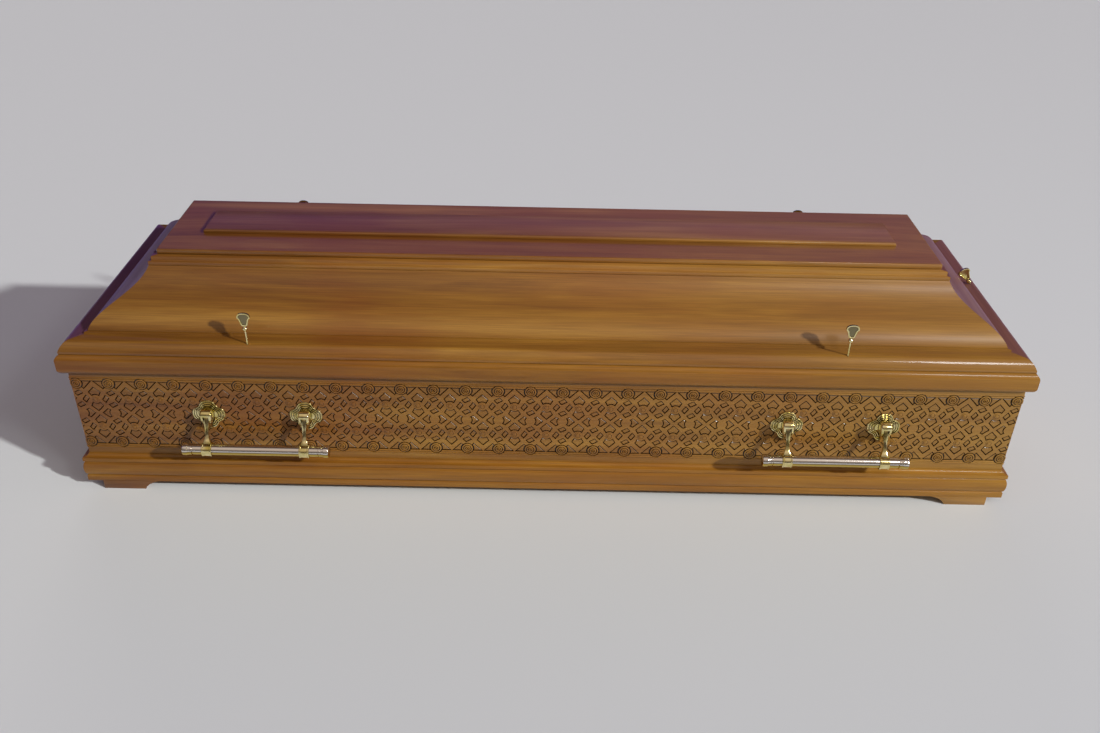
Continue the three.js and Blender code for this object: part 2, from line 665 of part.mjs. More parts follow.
// A swinging arm: pin, strap and the collar round the bar
function handleArm() {
  const half = ARM_THICKNESS / 2;
  const points = [];
  for (let i = 0; i <= ARM_END_STEPS; i += 1) {
    const angle = (i / ARM_END_STEPS) * Math.PI;
    points.push(PIVOT.clone()
      .addScaledVector(ARM_FRONT, half * Math.cos(angle))
      .addScaledVector(ARM_WAY, -half * Math.sin(angle)));
  }
  const strapLength = ARM_LINE.length() - BAR_RADIUS - COLLAR_THICKNESS / 2;
  points.push(PIVOT.clone().addScaledVector(ARM_FRONT, -half).addScaledVector(ARM_WAY, strapLength));
  points.push(PIVOT.clone().addScaledVector(ARM_FRONT, half).addScaledVector(ARM_WAY, strapLength));
  const strap = swingPlaneSolid(points, ARM_WIDTH);
  const pinWidth = ARM_WIDTH + 2 * (ARM_CLEARANCE + CHEEK_THICKNESS);
  const pin = crossCylinder(PIN_RADIUS, pinWidth, PIVOT, PIN_SIDES);
  const outer = BAR_RADIUS + COLLAR_THICKNESS;
  const collar = crossCylinder(outer, COLLAR_WIDTH, BAR_AXIS, BAR_SIDES);
  const bore = crossCylinder(BAR_RADIUS + GAP, COLLAR_WIDTH * 2, BAR_AXIS, BAR_SIDES);
  return geometryOf(solidOf(strap).add(solidOf(pin)).add(solidOf(collar)).subtract(solidOf(bore)));
}

// A round length of a handle bar between two places along it, with a radius at each
function barLength(from, fromRadius, to, toRadius) {
  const length = new THREE.CylinderGeometry(fromRadius, toRadius, to - from, BAR_SIDES);
  length.rotateZ(Math.PI / 2);
  length.translate((from + to) / 2, -BAR_AXIS.x, BAR_AXIS.y);
  return solidOf(length);
}

// A handle bar with flared end caps whose rims are bevelled
function handleBar() {
  const end = BAR_LENGTH / 2;
  const rim = end - CAP_BEVEL;
  const foot = end - CAP_LENGTH;
  const endRadius = CAP_RADIUS - CAP_BEVEL;
  const bar = barLength(-foot, BAR_RADIUS, foot, BAR_RADIUS)
    .add(barLength(foot, BAR_RADIUS, rim, CAP_RADIUS))
    .add(barLength(rim, CAP_RADIUS, end, endRadius))
    .add(barLength(-rim, CAP_RADIUS, -foot, BAR_RADIUS))
    .add(barLength(-end, endRadius, -rim, CAP_RADIUS));
  return geometryOf(bar);
}

function addHandles() {
  const faceY = WIDTH / 2 - WALL_INSET;
  for (const [side, turn] of [['front', 0], ['back', Math.PI]]) {
    for (const [end, sign] of [['left', -1], ['right', 1]]) {
      const handle = new THREE.Group();
      const outward = turn === 0 ? -1 : 1;
      handle.position.set(sign * HANDLE_CENTRE_X, outward * faceY, ESCUTCHEON_CENTRE_Z);
      handle.rotation.z = turn;
      coffin.add(handle);
      const name = `${side}_${end}`;
      addPiece(handle, `handle_bar_${name}`, handleBar(), NICKEL_BRASS);
      for (const [place, along] of [['outer', sign], ['inner', -sign]]) {
        const x = (along * -outward * HANDLE_ARM_SPACING) / 2;
        const plate = addPiece(handle, `escutcheon_${name}_${place}`, escutcheon(), BRASS);
        plate.position.x = x;
        const arm = addPiece(handle, `handle_arm_${name}_${place}`, handleArm(), BRASS);
        arm.position.x = x;
      }
    }
  }
}

addBaseBoard();
addFeet();
addMoulding('plinth', plinthProfile(), WALNUT, PLINTH_STEPS);
addCarvedPanel('side_panel_front', SIDES[0]);
addCarvedPanel('side_panel_back', SIDES[2]);
addPlainPanel('end_panel_right', SIDES[1]);
addPlainPanel('end_panel_left', SIDES[3]);
addMoulding('rim', rimProfile(), WALNUT, RIM_STEPS);
addRails();
addMoulding('lid_slope', slopeProfile(), WALNUT, SLOPE_STEPS);
addMoulding('lid_cornice', corniceProfile(), WALNUT, 1);
addTopBoards();
addClosingScrews();
addHandles();

export default coffin;
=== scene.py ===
import math

import bmesh
import bpy
from mathutils import Matrix, Vector


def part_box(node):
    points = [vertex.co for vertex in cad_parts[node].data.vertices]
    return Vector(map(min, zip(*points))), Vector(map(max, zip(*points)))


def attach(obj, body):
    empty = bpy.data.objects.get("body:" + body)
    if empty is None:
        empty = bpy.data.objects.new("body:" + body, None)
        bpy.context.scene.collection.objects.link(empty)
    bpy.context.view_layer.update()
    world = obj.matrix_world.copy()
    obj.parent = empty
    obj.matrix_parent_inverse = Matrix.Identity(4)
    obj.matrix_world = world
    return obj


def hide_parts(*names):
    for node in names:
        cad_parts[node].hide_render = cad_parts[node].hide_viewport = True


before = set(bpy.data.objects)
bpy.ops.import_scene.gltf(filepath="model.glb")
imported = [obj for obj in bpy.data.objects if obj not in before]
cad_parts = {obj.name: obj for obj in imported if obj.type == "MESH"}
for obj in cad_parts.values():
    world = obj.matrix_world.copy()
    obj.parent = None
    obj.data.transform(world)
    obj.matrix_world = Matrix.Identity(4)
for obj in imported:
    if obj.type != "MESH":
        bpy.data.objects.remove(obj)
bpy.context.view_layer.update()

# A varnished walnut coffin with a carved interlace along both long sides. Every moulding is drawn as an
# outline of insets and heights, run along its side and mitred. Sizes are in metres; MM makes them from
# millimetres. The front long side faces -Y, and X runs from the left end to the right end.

MM = 0.001


def levels(name):
    """The heights of a solid's underside and top."""
    return [corner.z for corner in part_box(name)]


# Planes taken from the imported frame: the rim's outer faces, and the heights where boards meet
HALF_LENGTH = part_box("rim_right")[1].x
HALF_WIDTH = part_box("rim_back")[1].y
BOX_BOTTOM, PLINTH_TOP = levels("plinth_front")
WALL_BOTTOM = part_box("side_panel_front")[0].z
WALL_FACE = HALF_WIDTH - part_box("side_panel_back")[1].y
RIM_BOTTOM, BOX_TOP = levels("rim_front")
RAIL_BOTTOM, RAIL_TOP = levels("lid_rail_front")
SLOPE_BOTTOM, SLOPE_TOP = levels("lid_slope_front")
CORNICE_BOTTOM, CORNICE_TOP = levels("lid_cornice_front")
TOP_BOARD_LOW, TOP_BOARD_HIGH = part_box("lid_top_board")
FIELD_LOW, FIELD_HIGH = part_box("lid_raised_field")

GAP = 0.3 * MM
JOINT = 0.1 * MM
WELD = 0.005 * MM
ARRIS = 0.7 * MM
RIM_ARRIS = 0.5 * MM
LID_ARRIS = 0.9 * MM
CORNICE_ARRIS = 1.3 * MM
END_WALL_ARRIS = 0.3 * MM
FIELD_ARRIS = 0.8 * MM
FOOT_ARRIS = 1 * MM
CURVE_STEPS = 12
SMOOTH_ANGLE = math.radians(32)
FACING = 0.9

# Plinth moulding
WALL_THICKNESS = 24 * MM
PLINTH_BACK = WALL_FACE - GAP
FILLET_INSET = 2.5 * MM
FILLET_HEIGHT = 13 * MM
QUIRK_INSET = 6 * MM
QUIRK_HEIGHT = 2 * MM
TORUS_HEIGHT = 35 * MM
TORUS_STEPS = 18
LIP_INSET = 2 * MM
LIP_HEIGHT = 9 * MM
COVE_TOP = 1 * MM
COVE_BEND = 3 * MM

# Rim moulding and lid rail
RIM_ROUND = 14 * MM
RAIL_INSET = 8 * MM
RAIL_WIDTH = 72 * MM
RAIL_ROUND_WIDTH = 19 * MM
RAIL_ROUND_HEIGHT = 20 * MM
RAIL_BEND_WIDTH = 0.4 * RAIL_ROUND_WIDTH
RAIL_BEND_HEIGHT = 0.15 * RAIL_ROUND_HEIGHT
RAIL_STEP_INSET = 51 * MM
RAIL_STEP_HEIGHT = 4.5 * MM

# Lid slope, an S-shaped curve from its foot to its top
SLOPE_FOOT_INSET = 57 * MM
SLOPE_TOP_INSET = 166 * MM
SLOPE_FOOT_ANGLE = math.radians(70)
SLOPE_TOP_ANGLE = math.radians(66)
SLOPE_FOOT_HANDLE = 45 * MM
SLOPE_TOP_HANDLE = 55 * MM
SLOPE_THICKNESS = 14 * MM
SLOPE_STEPS = 28

# Cornice, top board and raised field
CORNICE_STEP = 6 * MM
CORNICE_STEP_HEIGHT = 9 * MM
CORNICE_WIDTH = 34 * MM
BOARD_RISE = 3 * MM
BOARD_ROUND = 3 * MM
FIELD_BEVEL = 3 * MM
SHADE_EDGE = 1.2 * MM

# Border rails of the carving: pairs of reeds above and below it
CARVING_CENTRE = 196.3 * MM
REED_WIDTH = 4.75 * MM
REED_RISE = 1.3 * MM
REED_QUIRK = 0.9 * MM
LOWER_REEDS = 105 * MM
UPPER_REEDS = 278.4 * MM
REED_STEPS = 5

# Carved interlace, drawn about a rosette column, with knots half a period to each side of it
PERIOD = 68.6 * MM
PERIODS = 30
MITRE_LIMIT = 0.5
GROOVE_DEPTH = 2.8 * MM
GROOVE_WIDTH = 2.4 * MM
FLOOR_DEPTH = 0.5 * MM
ROSETTE_HEIGHT = 75.2 * MM
ROSETTE_RADIUS = 12.0 * MM
ROSETTE_CLEAR = 13.8 * MM
ROSETTE_WELL = 14.3 * MM
ROSETTE_SIDES = 24
BORDER_LINE = 80.5 * MM
BORDER_TIP = Vector((13.8 * MM, 62 * MM))
BORDER_APEX = Vector((32 * MM, BORDER_LINE))
LOZENGE_LENGTH = 13.2 * MM
LOZENGE_WIDTH = 9.2 * MM
LOZENGE_END_ANGLE = math.radians(-50)
LOZENGES = (
    (0, 51 * MM, 29), (0, 21 * MM, 29), (13.5 * MM, 36 * MM, 54), (-13.5 * MM, 36 * MM, 54),
)
KNOT_HEIGHT = 35.5 * MM
KNOT_RADIUS = 7.6 * MM
KNOT_SIDES = 16
KNOT_CLEAR = 11.6 * MM
CHEVRON_APEX = 30 * MM
CHEVRON_HALF_WIDTH = 12.4 * MM
CHEVRON_LEG = 17.5 * MM
DISC_CLEAR = 12 * MM
DISC_TIP = 26 * MM
DISC_CORNER = Vector((14 * MM, 11 * MM))
POCKET_ARC_STEPS = 6
BORDER_ARC_START = -42
KNOT_ARC = (48, 132)
DISC_ARC = (42, -42)
ROSETTE_RISE = 1.0 * MM
KNOT_RISE = 0.5 * MM

# Feet
FOOT_LENGTH = 125 * MM
FOOT_DEPTH = 100 * MM
FOOT_SCOOP = 33 * MM
FOOT_SCOOP_BEND = 0.8
FOOT_SCOOP_LIFT = 0.75

# Handles, in a frame with its origin at the middle of an escutcheon on the wall
ESCUTCHEON_HEIGHT = 200 * MM
ESCUTCHEON_RADIUS = 32.2 * MM
ESCUTCHEON_LOBE = 3.6 * MM
ESCUTCHEON_FLAT = 1.0 * MM
ESCUTCHEON_POINTS = 64
ESCUTCHEON_RIDGES = tuple((height * MM, share) for height, share in (
    (0.3, 1.0), (1.4, 1.0), (2.2, 0.985), (2.6, 0.955), (2.2, 0.92), (0.9, 0.9), (0.9, 0.865), (2.4, 0.845),
    (3.0, 0.81), (2.6, 0.775), (1.3, 0.755), (1.3, 0.72), (2.9, 0.7), (3.5, 0.665), (3.1, 0.63), (1.9, 0.61),
    (1.9, 0.575), (3.6, 0.55), (4.0, 0.5), (4.4, 0.3),
))
LUG_WIDTH = 26.2 * MM
LUG_BACK = 1.5 * MM
LUG_ARRIS = 1.1 * MM
# The lug's height, width and reach from its tail to its top
LUG_STATIONS = tuple((height * MM, width * MM, reach * MM) for height, width, reach in (
    (-37, 7, 4), (-31, 8, 6.5), (-24, 11, 10.5), (-16, 17, 15.5), (-9, 22.5, 20.5), (-4, 25, 23.5),
    (3, LUG_WIDTH / MM, 24.5), (11, 25.4, 23.6), (15.5, 24, 21), (18, 22, 17), (19, 20, 13),
))
LUG_SECTION = ((-0.44, 0), (-0.5, -0.8), (-0.4, -1), (0.4, -1), (0.5, -0.8), (0.44, 0))
PIVOT_REACH = 19 * MM
PIVOT_RISE = 2 * MM
PIN_RADIUS = 3 * MM
PIN_HALF = LUG_WIDTH / 2 - 0.5 * MM
ARM_WIDTH = 11 * MM
ARM_THICKNESS = 9 * MM
# Shares of the arm's length, width and thickness, from the bar's collar up to the pin
ARM_STATIONS = (
    (1.0, 1.6, 1.5), (0.93, 1.42, 1.4), (0.86, 1.1, 1.15), (0.77, 0.84, 0.86), (0.66, 0.74, 0.76),
    (0.52, 0.7, 0.74), (0.38, 0.78, 0.84), (0.24, 0.94, 0.98), (0.08, 1.0, 1.0), (0.0, 1.0, 1.0),
    (-0.03, 1.0, 0.93), (-0.055, 1.0, 0.74), (-0.072, 1.0, 0.46), (-0.078, 1.0, 0.2),
)
ARM_SECTION = (
    (-0.3, -0.5), (0.3, -0.5), (0.44, -0.42), (0.5, -0.25), (0.5, 0.25), (0.44, 0.42), (0.3, 0.5),
    (-0.3, 0.5), (-0.44, 0.42), (-0.5, 0.25), (-0.5, -0.25), (-0.44, -0.42),
)
ARM_CLEARANCE = 0.6 * MM
BAR_REACH = 45 * MM
BAR_DROP = 62 * MM
BAR_RADIUS = 11.8 * MM
BAR_LENGTH = 313 * MM
# A bar's flared cap: millimetres out from where it starts, and past the bar's radius
CAP_LENGTH = 21 * MM
CAP_LINE = (
    (-2, 0), (-1.3, -1.2), (0, -1.2), (0.6, 0.8), (2.6, 0.9), (3.4, -0.1), (7, 0.3), (9.5, 1.1), (10, 1.8),
    (18.6, 1.8), (20.1, 1), (21, -0.8), (21, -BAR_RADIUS / MM),
)
# Half of a collar's ring: millimetres out from its middle, and past the bar's radius
COLLAR_WAIST = 2.4
COLLAR_LINE = ((10.5, 0.1), (10.5, 2.5), (9.7, 3.3), (7.9, 3.3), (6.9, COLLAR_WAIST))
TURNED_STEPS = 48
PIN_STEPS = 20

# Closing screws, in a frame with its origin where the shank enters the rail
SCREW_X = 621 * MM
SCREW_INSET = 25 * MM
SCREW_EXPOSED = 30 * MM
SCREW_DEPTH = 52 * MM
END_SCREW_Y = 46 * MM
END_SCREW_INSET = 33 * MM
END_SCREW_EXPOSED = 3 * MM
END_SCREW_DEPTH = 17 * MM
END_SCREW_LEAN = math.radians(35)
SHANK_RADIUS = 2 * MM
SHANK_CLEARANCE = 0.4 * MM
SHANK_POINT = 1.5 * MM
SHANK_TIP = 0.7
SHANK_STEPS = 24
BALL_RADIUS = 5.4 * MM
BALL_QUIRK = 0.4 * MM
BALL_ARC = (-58, 62)
PADDLE_NECK = 12 * MM
PADDLE_LENGTH = 30 * MM
PADDLE_TOP_WIDTH = 27 * MM
PADDLE_FOOT_WIDTH = 12 * MM
PADDLE_THICKNESS = 4.8 * MM
PADDLE_CORNER = 11 * MM
PADDLE_RECESS = 1.6 * MM
PADDLE_RIM = 2.7 * MM
PADDLE_RIM_SLOPE = 0.6 * MM
PADDLE_TENON = 2.1 * MM
TENON_START, TENON_END, TENON_TIP = -1 * MM, 3 * MM, 3.5 * MM
PADDLE_FOOT_ROUND = 3 * MM
PADDLE_FLARE = (1.2 * MM, 4.5 * MM)
PADDLE_SWELL = (3.4 * MM, 15 * MM)
PADDLE_CREST = 1 * MM
PADDLE_ARRIS = 0.5 * MM

# Finishes, as sRGB colours
WALNUT_DARK = "#6e4214"
WALNUT_MID = "#8d5e1f"
WALNUT_LIGHT = "#a87a2f"
WALNUT_RED = "#7d4318"
# Painted light: the gold that the boards take on towards the right end
PAINTED_LIGHT_GOLD = "#a4803a"
# Painted shade in the carving's grooves
PAINTED_GROOVE_SHADE = "#180a08"
# Painted reflection: the violet of the sheen along some boards
PAINTED_VIOLET_SHEEN = "#7450bc"
BRASS = "#f7eab2"
BRASS_DULL = "#d2c06a"
# Painted shade for the brass's hollows, and for the recessed faces of the paddles
PAINTED_HOLLOW_SHADE = "#4a3d12"
PAINTED_RECESS_SHADE = "#8a8060"
BAR_METAL = "#e8e2da"
# Painted reflection of the floor on the bar's under side, and a dark painted line along its edge
BAR_PAINTED_FLOOR_REFLECTION = "#c8ac54"
BAR_PAINTED_EDGE_LINE = "#6a5836"


def linear(colour):
    """The linear colour of an sRGB hex value."""
    shares = [int(colour[i : i + 2], 16) / 255 for i in (1, 3, 5)]
    return [s / 12.92 if s <= 0.04045 else ((s + 0.055) / 1.055) ** 2.4 for s in shares] + [1.0]


def node(material, kind, inputs=None, stops=(), out=0, **settings):
    """Adds a shader node to a material or world, with its settings, its colour stops, and a value or link for
    each input. Gives the output to link from, by its place or name."""
    made = material.node_tree.nodes.new(f"ShaderNode{kind}")
    for name, value in settings.items():
        setattr(made, name, value)
    for name, value in (inputs or {}).items():
        if isinstance(value, bpy.types.NodeSocket):
            material.node_tree.links.new(value, made.inputs[name])
        else:
            made.inputs[name].default_value = value
    for place, (position, colour) in enumerate(stops):
        elements = made.color_ramp.elements
        stop = elements[place] if place < 2 else elements.new(position)
        stop.position = position
        stop.color = linear(colour) if isinstance(colour, str) else colour
    return made.outputs[out] if made.outputs else made


def new_material(name):
    """An empty node material."""
    material = bpy.data.materials.new(name)
    material.use_nodes = True
    material.node_tree.nodes.clear()
    return material


def varnished_walnut(
    board, along, carved=False, shade=(1, 1, 1), coat=0.8, dullness=0.14, violet_sheen=0.0, above=0.0,
):
    """Stained walnut under a brushed gloss varnish: streaks run along the board, fine fibres break them,
    and the varnish gives a clear reflection over a softer one. The carved boards are painted dark in their
    grooves, as painted shade. Shade makes a board lighter or darker than its neighbours, above a height, on
    some boards as painted light and shade; coat is the varnish's share, dullness its roughness, and the
    violet sheen a painted reflection of violet light seen along boards at a flat angle."""
    m = new_material(f"varnished_walnut_{board}")
    place = node(m, "TexCoord", out="Object")

    def stretched(lengthwise, across):
        scale = [across, across, across]
        scale[along] = lengthwise
        return node(m, "Mapping", {"Vector": place, "Scale": scale})

    # Streaks are about 40 mm apart across the board and run for most of a metre
    figure = node(m, "TexNoise", {
        "Vector": stretched(1.3, 24), "Scale": 1.0, "Detail": 5.0, "Roughness": 0.62, "Distortion": 0.5,
    })
    wood = node(m, "ValToRGB", {"Fac": figure}, stops=[
        (0.3, WALNUT_DARK), (0.72, WALNUT_LIGHT), (0.5, WALNUT_MID),
    ])
    # Cloudy patches of redder stain, about 150 mm across
    cloud = node(m, "TexNoise", {"Vector": stretched(3.2, 7), "Scale": 1.0, "Detail": 3.0})
    cloudy = node(m, "MapRange", {"Value": cloud, "From Min": 0.42, "From Max": 0.68, "To Max": 0.55})
    wood = node(m, "Mix", {0: cloudy, 6: wood, 7: linear(WALNUT_RED)}, out=2, data_type="RGBA")
    # Painted light and shade: the boards are redder and darker towards the left end, and golden towards the
    # right
    x, y, z = node(m, "SeparateXYZ", {"Vector": place}, out=slice(3))
    gold = node(m, "MapRange", {"Value": x, "From Min": -0.4, "From Max": 1.1, "To Max": 0.4})
    dark = node(m, "MapRange", {
        "Value": x, "From Min": -1.1, "From Max": 0.1, "To Min": 0.66, "To Max": 0.92,
    })
    wood = node(m, "Mix", {0: gold, 6: wood, 7: linear(PAINTED_LIGHT_GOLD)}, out=2, data_type="RGBA")
    # Fibres: real ones are 0.5 mm apart, drawn 2 mm apart so that they show
    fibres = node(m, "TexNoise", {"Vector": stretched(7, 480), "Scale": 1.0, "Roughness": 0.6})
    fibre_shade = node(m, "MapRange", {
        "Value": fibres, "From Min": 0.3, "From Max": 0.7, "To Min": 0.82, "To Max": 1.1,
    })
    for scale in (fibre_shade, dark):
        wood = node(m, "VectorMath", {0: wood, "Scale": scale}, operation="SCALE")
    # Above a height the board takes its shade: on some boards a tone of their own, on the lid's top boards
    # painted light and shade
    shaded = node(m, "VectorMath", {0: wood, 1: shade}, operation="MULTIPLY")
    upper = node(m, "MapRange", {"Value": z, "From Min": above - 1 * MM, "From Max": above})
    wood = node(m, "Mix", {0: upper, 6: wood, 7: shaded}, out=2, data_type="RGBA")
    if carved:
        face = HALF_WIDTH - WALL_FACE
        depth = node(m, "Math", {0: y}, operation="ABSOLUTE")
        sunk = node(m, "MapRange", {
            "Value": depth, "From Min": face - GROOVE_DEPTH, "From Max": face, "To Min": 1.0, "To Max": 0.0,
        })
        # Painted shade: the wood is painted dark by its depth below the wall's face
        painted_groove_shade = node(m, "ValToRGB", {"Fac": sunk}, stops=[
            (0.05, (0, 0, 0, 1)), (1.0, (0.95, 0.95, 0.95, 1)), (0.2, (0.1, 0.1, 0.1, 1)),
            (0.3, (0.9, 0.9, 0.9, 1)),
        ])
        wood = node(m, "Mix", {0: painted_groove_shade, 6: wood, 7: linear(PAINTED_GROOVE_SHADE)}, out=2, data_type="RGBA")
        # The varnish is rubbed brighter on the reeds and rosettes that stand out
        dullness = node(m, "MapRange", {
            "Value": depth, "From Min": face + 0.2 * MM, "From Max": face + REED_RISE,
            "To Min": dullness, "To Max": 0.09,
        })
    gloss = node(m, "MapRange", {
        "Value": figure, "From Min": 0.3, "From Max": 0.7, "To Min": 0.52, "To Max": 0.42,
    })
    # Brushed varnish stands in low waves about 12 mm apart, and the fibres still show through it
    waves = node(m, "TexNoise", {"Vector": stretched(30, 85), "Scale": 1.0})
    wavy = node(m, "Bump", {"Height": waves, "Strength": 0.25, "Distance": 0.4 * MM})
    grained = node(m, "Bump", {
        "Height": fibres, "Normal": wavy, "Strength": 0.25, "Distance": 0.2 * MM,
    })
    # The sheen, on the boards that have one, is tinted violet: a painted reflection of violet light
    shader = node(m, "BsdfPrincipled", {
        "Base Color": wood, "Roughness": gloss, "Normal": grained, "Specular IOR Level": 0.18,
        "Coat Weight": coat, "Coat Roughness": dullness, "Coat Normal": wavy,
        "Sheen Weight": violet_sheen, "Sheen Roughness": 0.35, "Sheen Tint": linear(PAINTED_VIOLET_SHEEN),
    })
    node(m, "OutputMaterial", {"Surface": shader})
    return m


def cast_brass(name, recessed=False):
    """Cast brass, buffed and lacquered: pale gold with softly duller places, a faint grain from the buff, and
    painted shade, dark, in the hollows, by how little of the sky they see. The screws' paddles are painted
    darker and greyer in their recessed faces, as painted shade."""
    m = new_material(name)
    place = node(m, "TexCoord", out="Object")
    # Duller places about 20 mm across, and a buffed grain about 2 mm apart
    clouds = node(m, "TexNoise", {"Vector": place, "Scale": 50.0})
    grain = node(m, "TexNoise", {"Vector": place, "Scale": 450.0})
    colour = node(m, "ValToRGB", {"Fac": clouds}, stops=[(0.3, BRASS_DULL), (0.6, BRASS)])
    # Painted shade: hollows are told from ridges by how much of the sky they see within 3 mm, and painted
    # dark
    open_share = node(m, "AmbientOcclusion", {"Distance": 3 * MM}, out="AO", samples=8)
    painted_hollow_shade = node(m, "MapRange", {
        "Value": open_share, "From Min": 0.5, "From Max": 0.9, "To Min": 0.95, "To Max": 0.0,
    })
    colour = node(m, "Mix", {0: painted_hollow_shade, 6: colour, 7: linear(PAINTED_HOLLOW_SHADE)}, out=2, data_type="RGBA")
    # Painted shade: the recessed faces of the paddles are painted a darker grey
    if recessed:
        y, z = node(m, "SeparateXYZ", {"Vector": place}, out=slice(1, 3))
        reach = node(m, "Math", {0: y}, operation="ABSOLUTE")
        half_recess = (PADDLE_THICKNESS - PADDLE_RECESS) / 2
        near = node(m, "Math", {0: reach, 1: HALF_WIDTH - SCREW_INSET, 2: half_recess}, operation="COMPARE")
        foot = RAIL_TOP - RAIL_STEP_HEIGHT + SCREW_EXPOSED + PADDLE_NECK
        high = node(m, "Math", {0: z, 1: foot}, operation="GREATER_THAN")
        face = node(m, "Math", {0: near, 1: high}, operation="MULTIPLY")
        colour = node(m, "Mix", {0: face, 6: colour, 7: linear(PAINTED_RECESS_SHADE)}, out=2, data_type="RGBA")
    rough = node(m, "MapRange", {
        "Value": clouds, "From Min": 0.3, "From Max": 0.7, "To Min": 0.19, "To Max": 0.1,
    })
    bump = node(m, "Bump", {"Height": grain, "Strength": 0.02, "Distance": 0.1 * MM})
    shader = node(m, "BsdfPrincipled", {
        "Base Color": colour, "Metallic": 1.0, "Roughness": rough, "Normal": bump,
    })
    node(m, "OutputMaterial", {"Surface": shader})
    return m


def polished_nickel(name):
    """Turned and polished bar: pinkish silver nickel, painted gold on its under side as a painted reflection
    of the floor, with a dark painted line along the edge, and faint rings left by the polishing wheel."""
    m = new_material(name)
    place = node(m, "TexCoord", out="Object")
    height = node(m, "SeparateXYZ", {"Vector": place}, out="Z")
    axis = ESCUTCHEON_HEIGHT - BAR_DROP
    # Painted reflection: below its axis the bar is painted gold, with a dark painted line above the gold
    painted_reflection_band = node(m, "MapRange", {
        "Value": height, "From Min": axis - BAR_RADIUS * 0.1, "From Max": axis + BAR_RADIUS * 0.2,
    })
    colour = node(m, "ValToRGB", {"Fac": painted_reflection_band}, stops=[
        (0.0, BAR_PAINTED_FLOOR_REFLECTION), (1.0, BAR_METAL), (0.4, BAR_PAINTED_EDGE_LINE),
    ])
    # Rings about 1.5 mm apart round the bar
    ringed = node(m, "Mapping", {"Vector": place, "Scale": (650, 8, 8)})
    rings = node(m, "TexNoise", {"Vector": ringed, "Scale": 1.0, "Detail": 1.0})
    rough = node(m, "MapRange", {"Value": rings, "To Min": 0.1, "To Max": 0.2})
    bump = node(m, "Bump", {"Height": rings, "Strength": 0.04, "Distance": 0.1 * MM})
    shader = node(m, "BsdfPrincipled", {
        "Base Color": colour, "Metallic": 1.0, "Roughness": rough, "Normal": bump,
    })
    node(m, "OutputMaterial", {"Surface": shader})
    return m


LENGTHWISE_WALNUT = varnished_walnut("lengthwise", 0, dullness=0.1)
EDGE_WALNUT = varnished_walnut("rim_and_plinth", 0, shade=(1.06, 1.02, 0.75), coat=0.5, dullness=0.1)
# Painted shade and violet light: the end boards are darker and bluer than the long ones
CROSSWISE_WALNUT = varnished_walnut("crosswise", 1, shade=(0.9, 0.85, 1.2), coat=0.4)
CARVED_WALNUT = varnished_walnut(
    "carved", 0, carved=True, shade=(1.04, 1.1, 1.2), coat=0.6, dullness=0.28,
)
SLOPE_WALNUT = varnished_walnut("lid_slope", 0, dullness=0.34)
# Painted shade and violet reflection: the lid's end boards are much darker and bluer, with a violet sheen
LID_END_WALNUT = varnished_walnut("lid_ends", 1, shade=(0.5, 0.42, 1.1), coat=0.08, violet_sheen=0.5)
# The top board's upper face is darker and redder than its edge: partly a redder stain, partly painted shade
# and violet reflection
TOP_BOARD_WALNUT = varnished_walnut(
    "top_board", 0, shade=(0.88, 0.8, 0.86), above=TOP_BOARD_HIGH.z - BOARD_RISE - SHADE_EDGE,
)
# Painted violet reflection: the field's upper face is darker and bluer, with a faint violet sheen
FIELD_WALNUT = varnished_walnut(
    "raised_field", 0, shade=(0.85, 0.8, 1.5), violet_sheen=0.1, above=FIELD_HIGH.z - SHADE_EDGE,
)
LIGHTER_WALNUT = varnished_walnut("cornice", 0, shade=(1.2, 1.25, 1.5), dullness=0.25)
CAST_BRASS = cast_brass("cast_brass_lacquered")
SCREW_BRASS = cast_brass("cast_brass_screws", recessed=True)
POLISHED_BAR = polished_nickel("polished_nickel_bar_painted_reflection")


def object_mode():
    """Leaves edit mode."""
    if bpy.context.mode != "OBJECT":
        bpy.ops.object.mode_set(mode="OBJECT")


def only(piece):
    """Makes one object the selected and active one."""
    object_mode()
    bpy.ops.object.select_all(action="DESELECT")
    piece.select_set(True)
    bpy.context.view_layer.objects.active = piece
    return piece


def edit(piece):
    """Opens one object for editing with all of it selected."""
    only(piece)
    bpy.ops.object.mode_set(mode="EDIT")
    bpy.ops.mesh.select_all(action="SELECT")
    return piece


def select_faces(piece, wanted):
    """Selects the faces of the object being edited whose centre and normal pass a test."""
    bpy.ops.mesh.select_mode(type="FACE")
    bpy.ops.mesh.select_all(action="DESELECT")
    mesh = bmesh.from_edit_mesh(piece.data)
    for face in mesh.faces:
        face.select_set(bool(wanted(face.calc_center_median(), face.normal)))
    mesh.select_flush_mode()
    bmesh.update_edit_mesh(piece.data)


def faces_outwards():
    """Joins doubled points and turns all faces of the edited mesh outwards."""
    bpy.ops.mesh.select_mode(type="VERT")
    bpy.ops.mesh.select_all(action="SELECT")
    bpy.ops.mesh.remove_doubles(threshold=WELD)
    bpy.ops.mesh.normals_make_consistent(inside=False)


def pulled(way):
    """Extrudes all that is selected along a way."""
    bpy.ops.mesh.extrude_region_move(TRANSFORM_OT_translate={"value": way})


def drawn_line(points):
    """A new object in edit mode holding a line drawn from point to point, all of it selected."""
    object_mode()
    bpy.ops.object.select_all(action="DESELECT")
    bpy.ops.mesh.primitive_plane_add(size=MM)
    piece = bpy.context.object
    bpy.ops.object.mode_set(mode="EDIT")
    bpy.ops.mesh.select_mode(type="VERT")
    bpy.ops.mesh.select_all(action="SELECT")
    bpy.ops.mesh.merge(type="CENTER")
    bpy.ops.transform.translate(value=points[0])
    for last, point in zip(points, points[1:]):
        pulled(point - last)
    bpy.ops.mesh.select_all(action="SELECT")
    return piece


def drawn_face(points):
    """The same line closed and filled."""
    piece = drawn_line(points)
    bpy.ops.mesh.edge_face_add()
    return piece


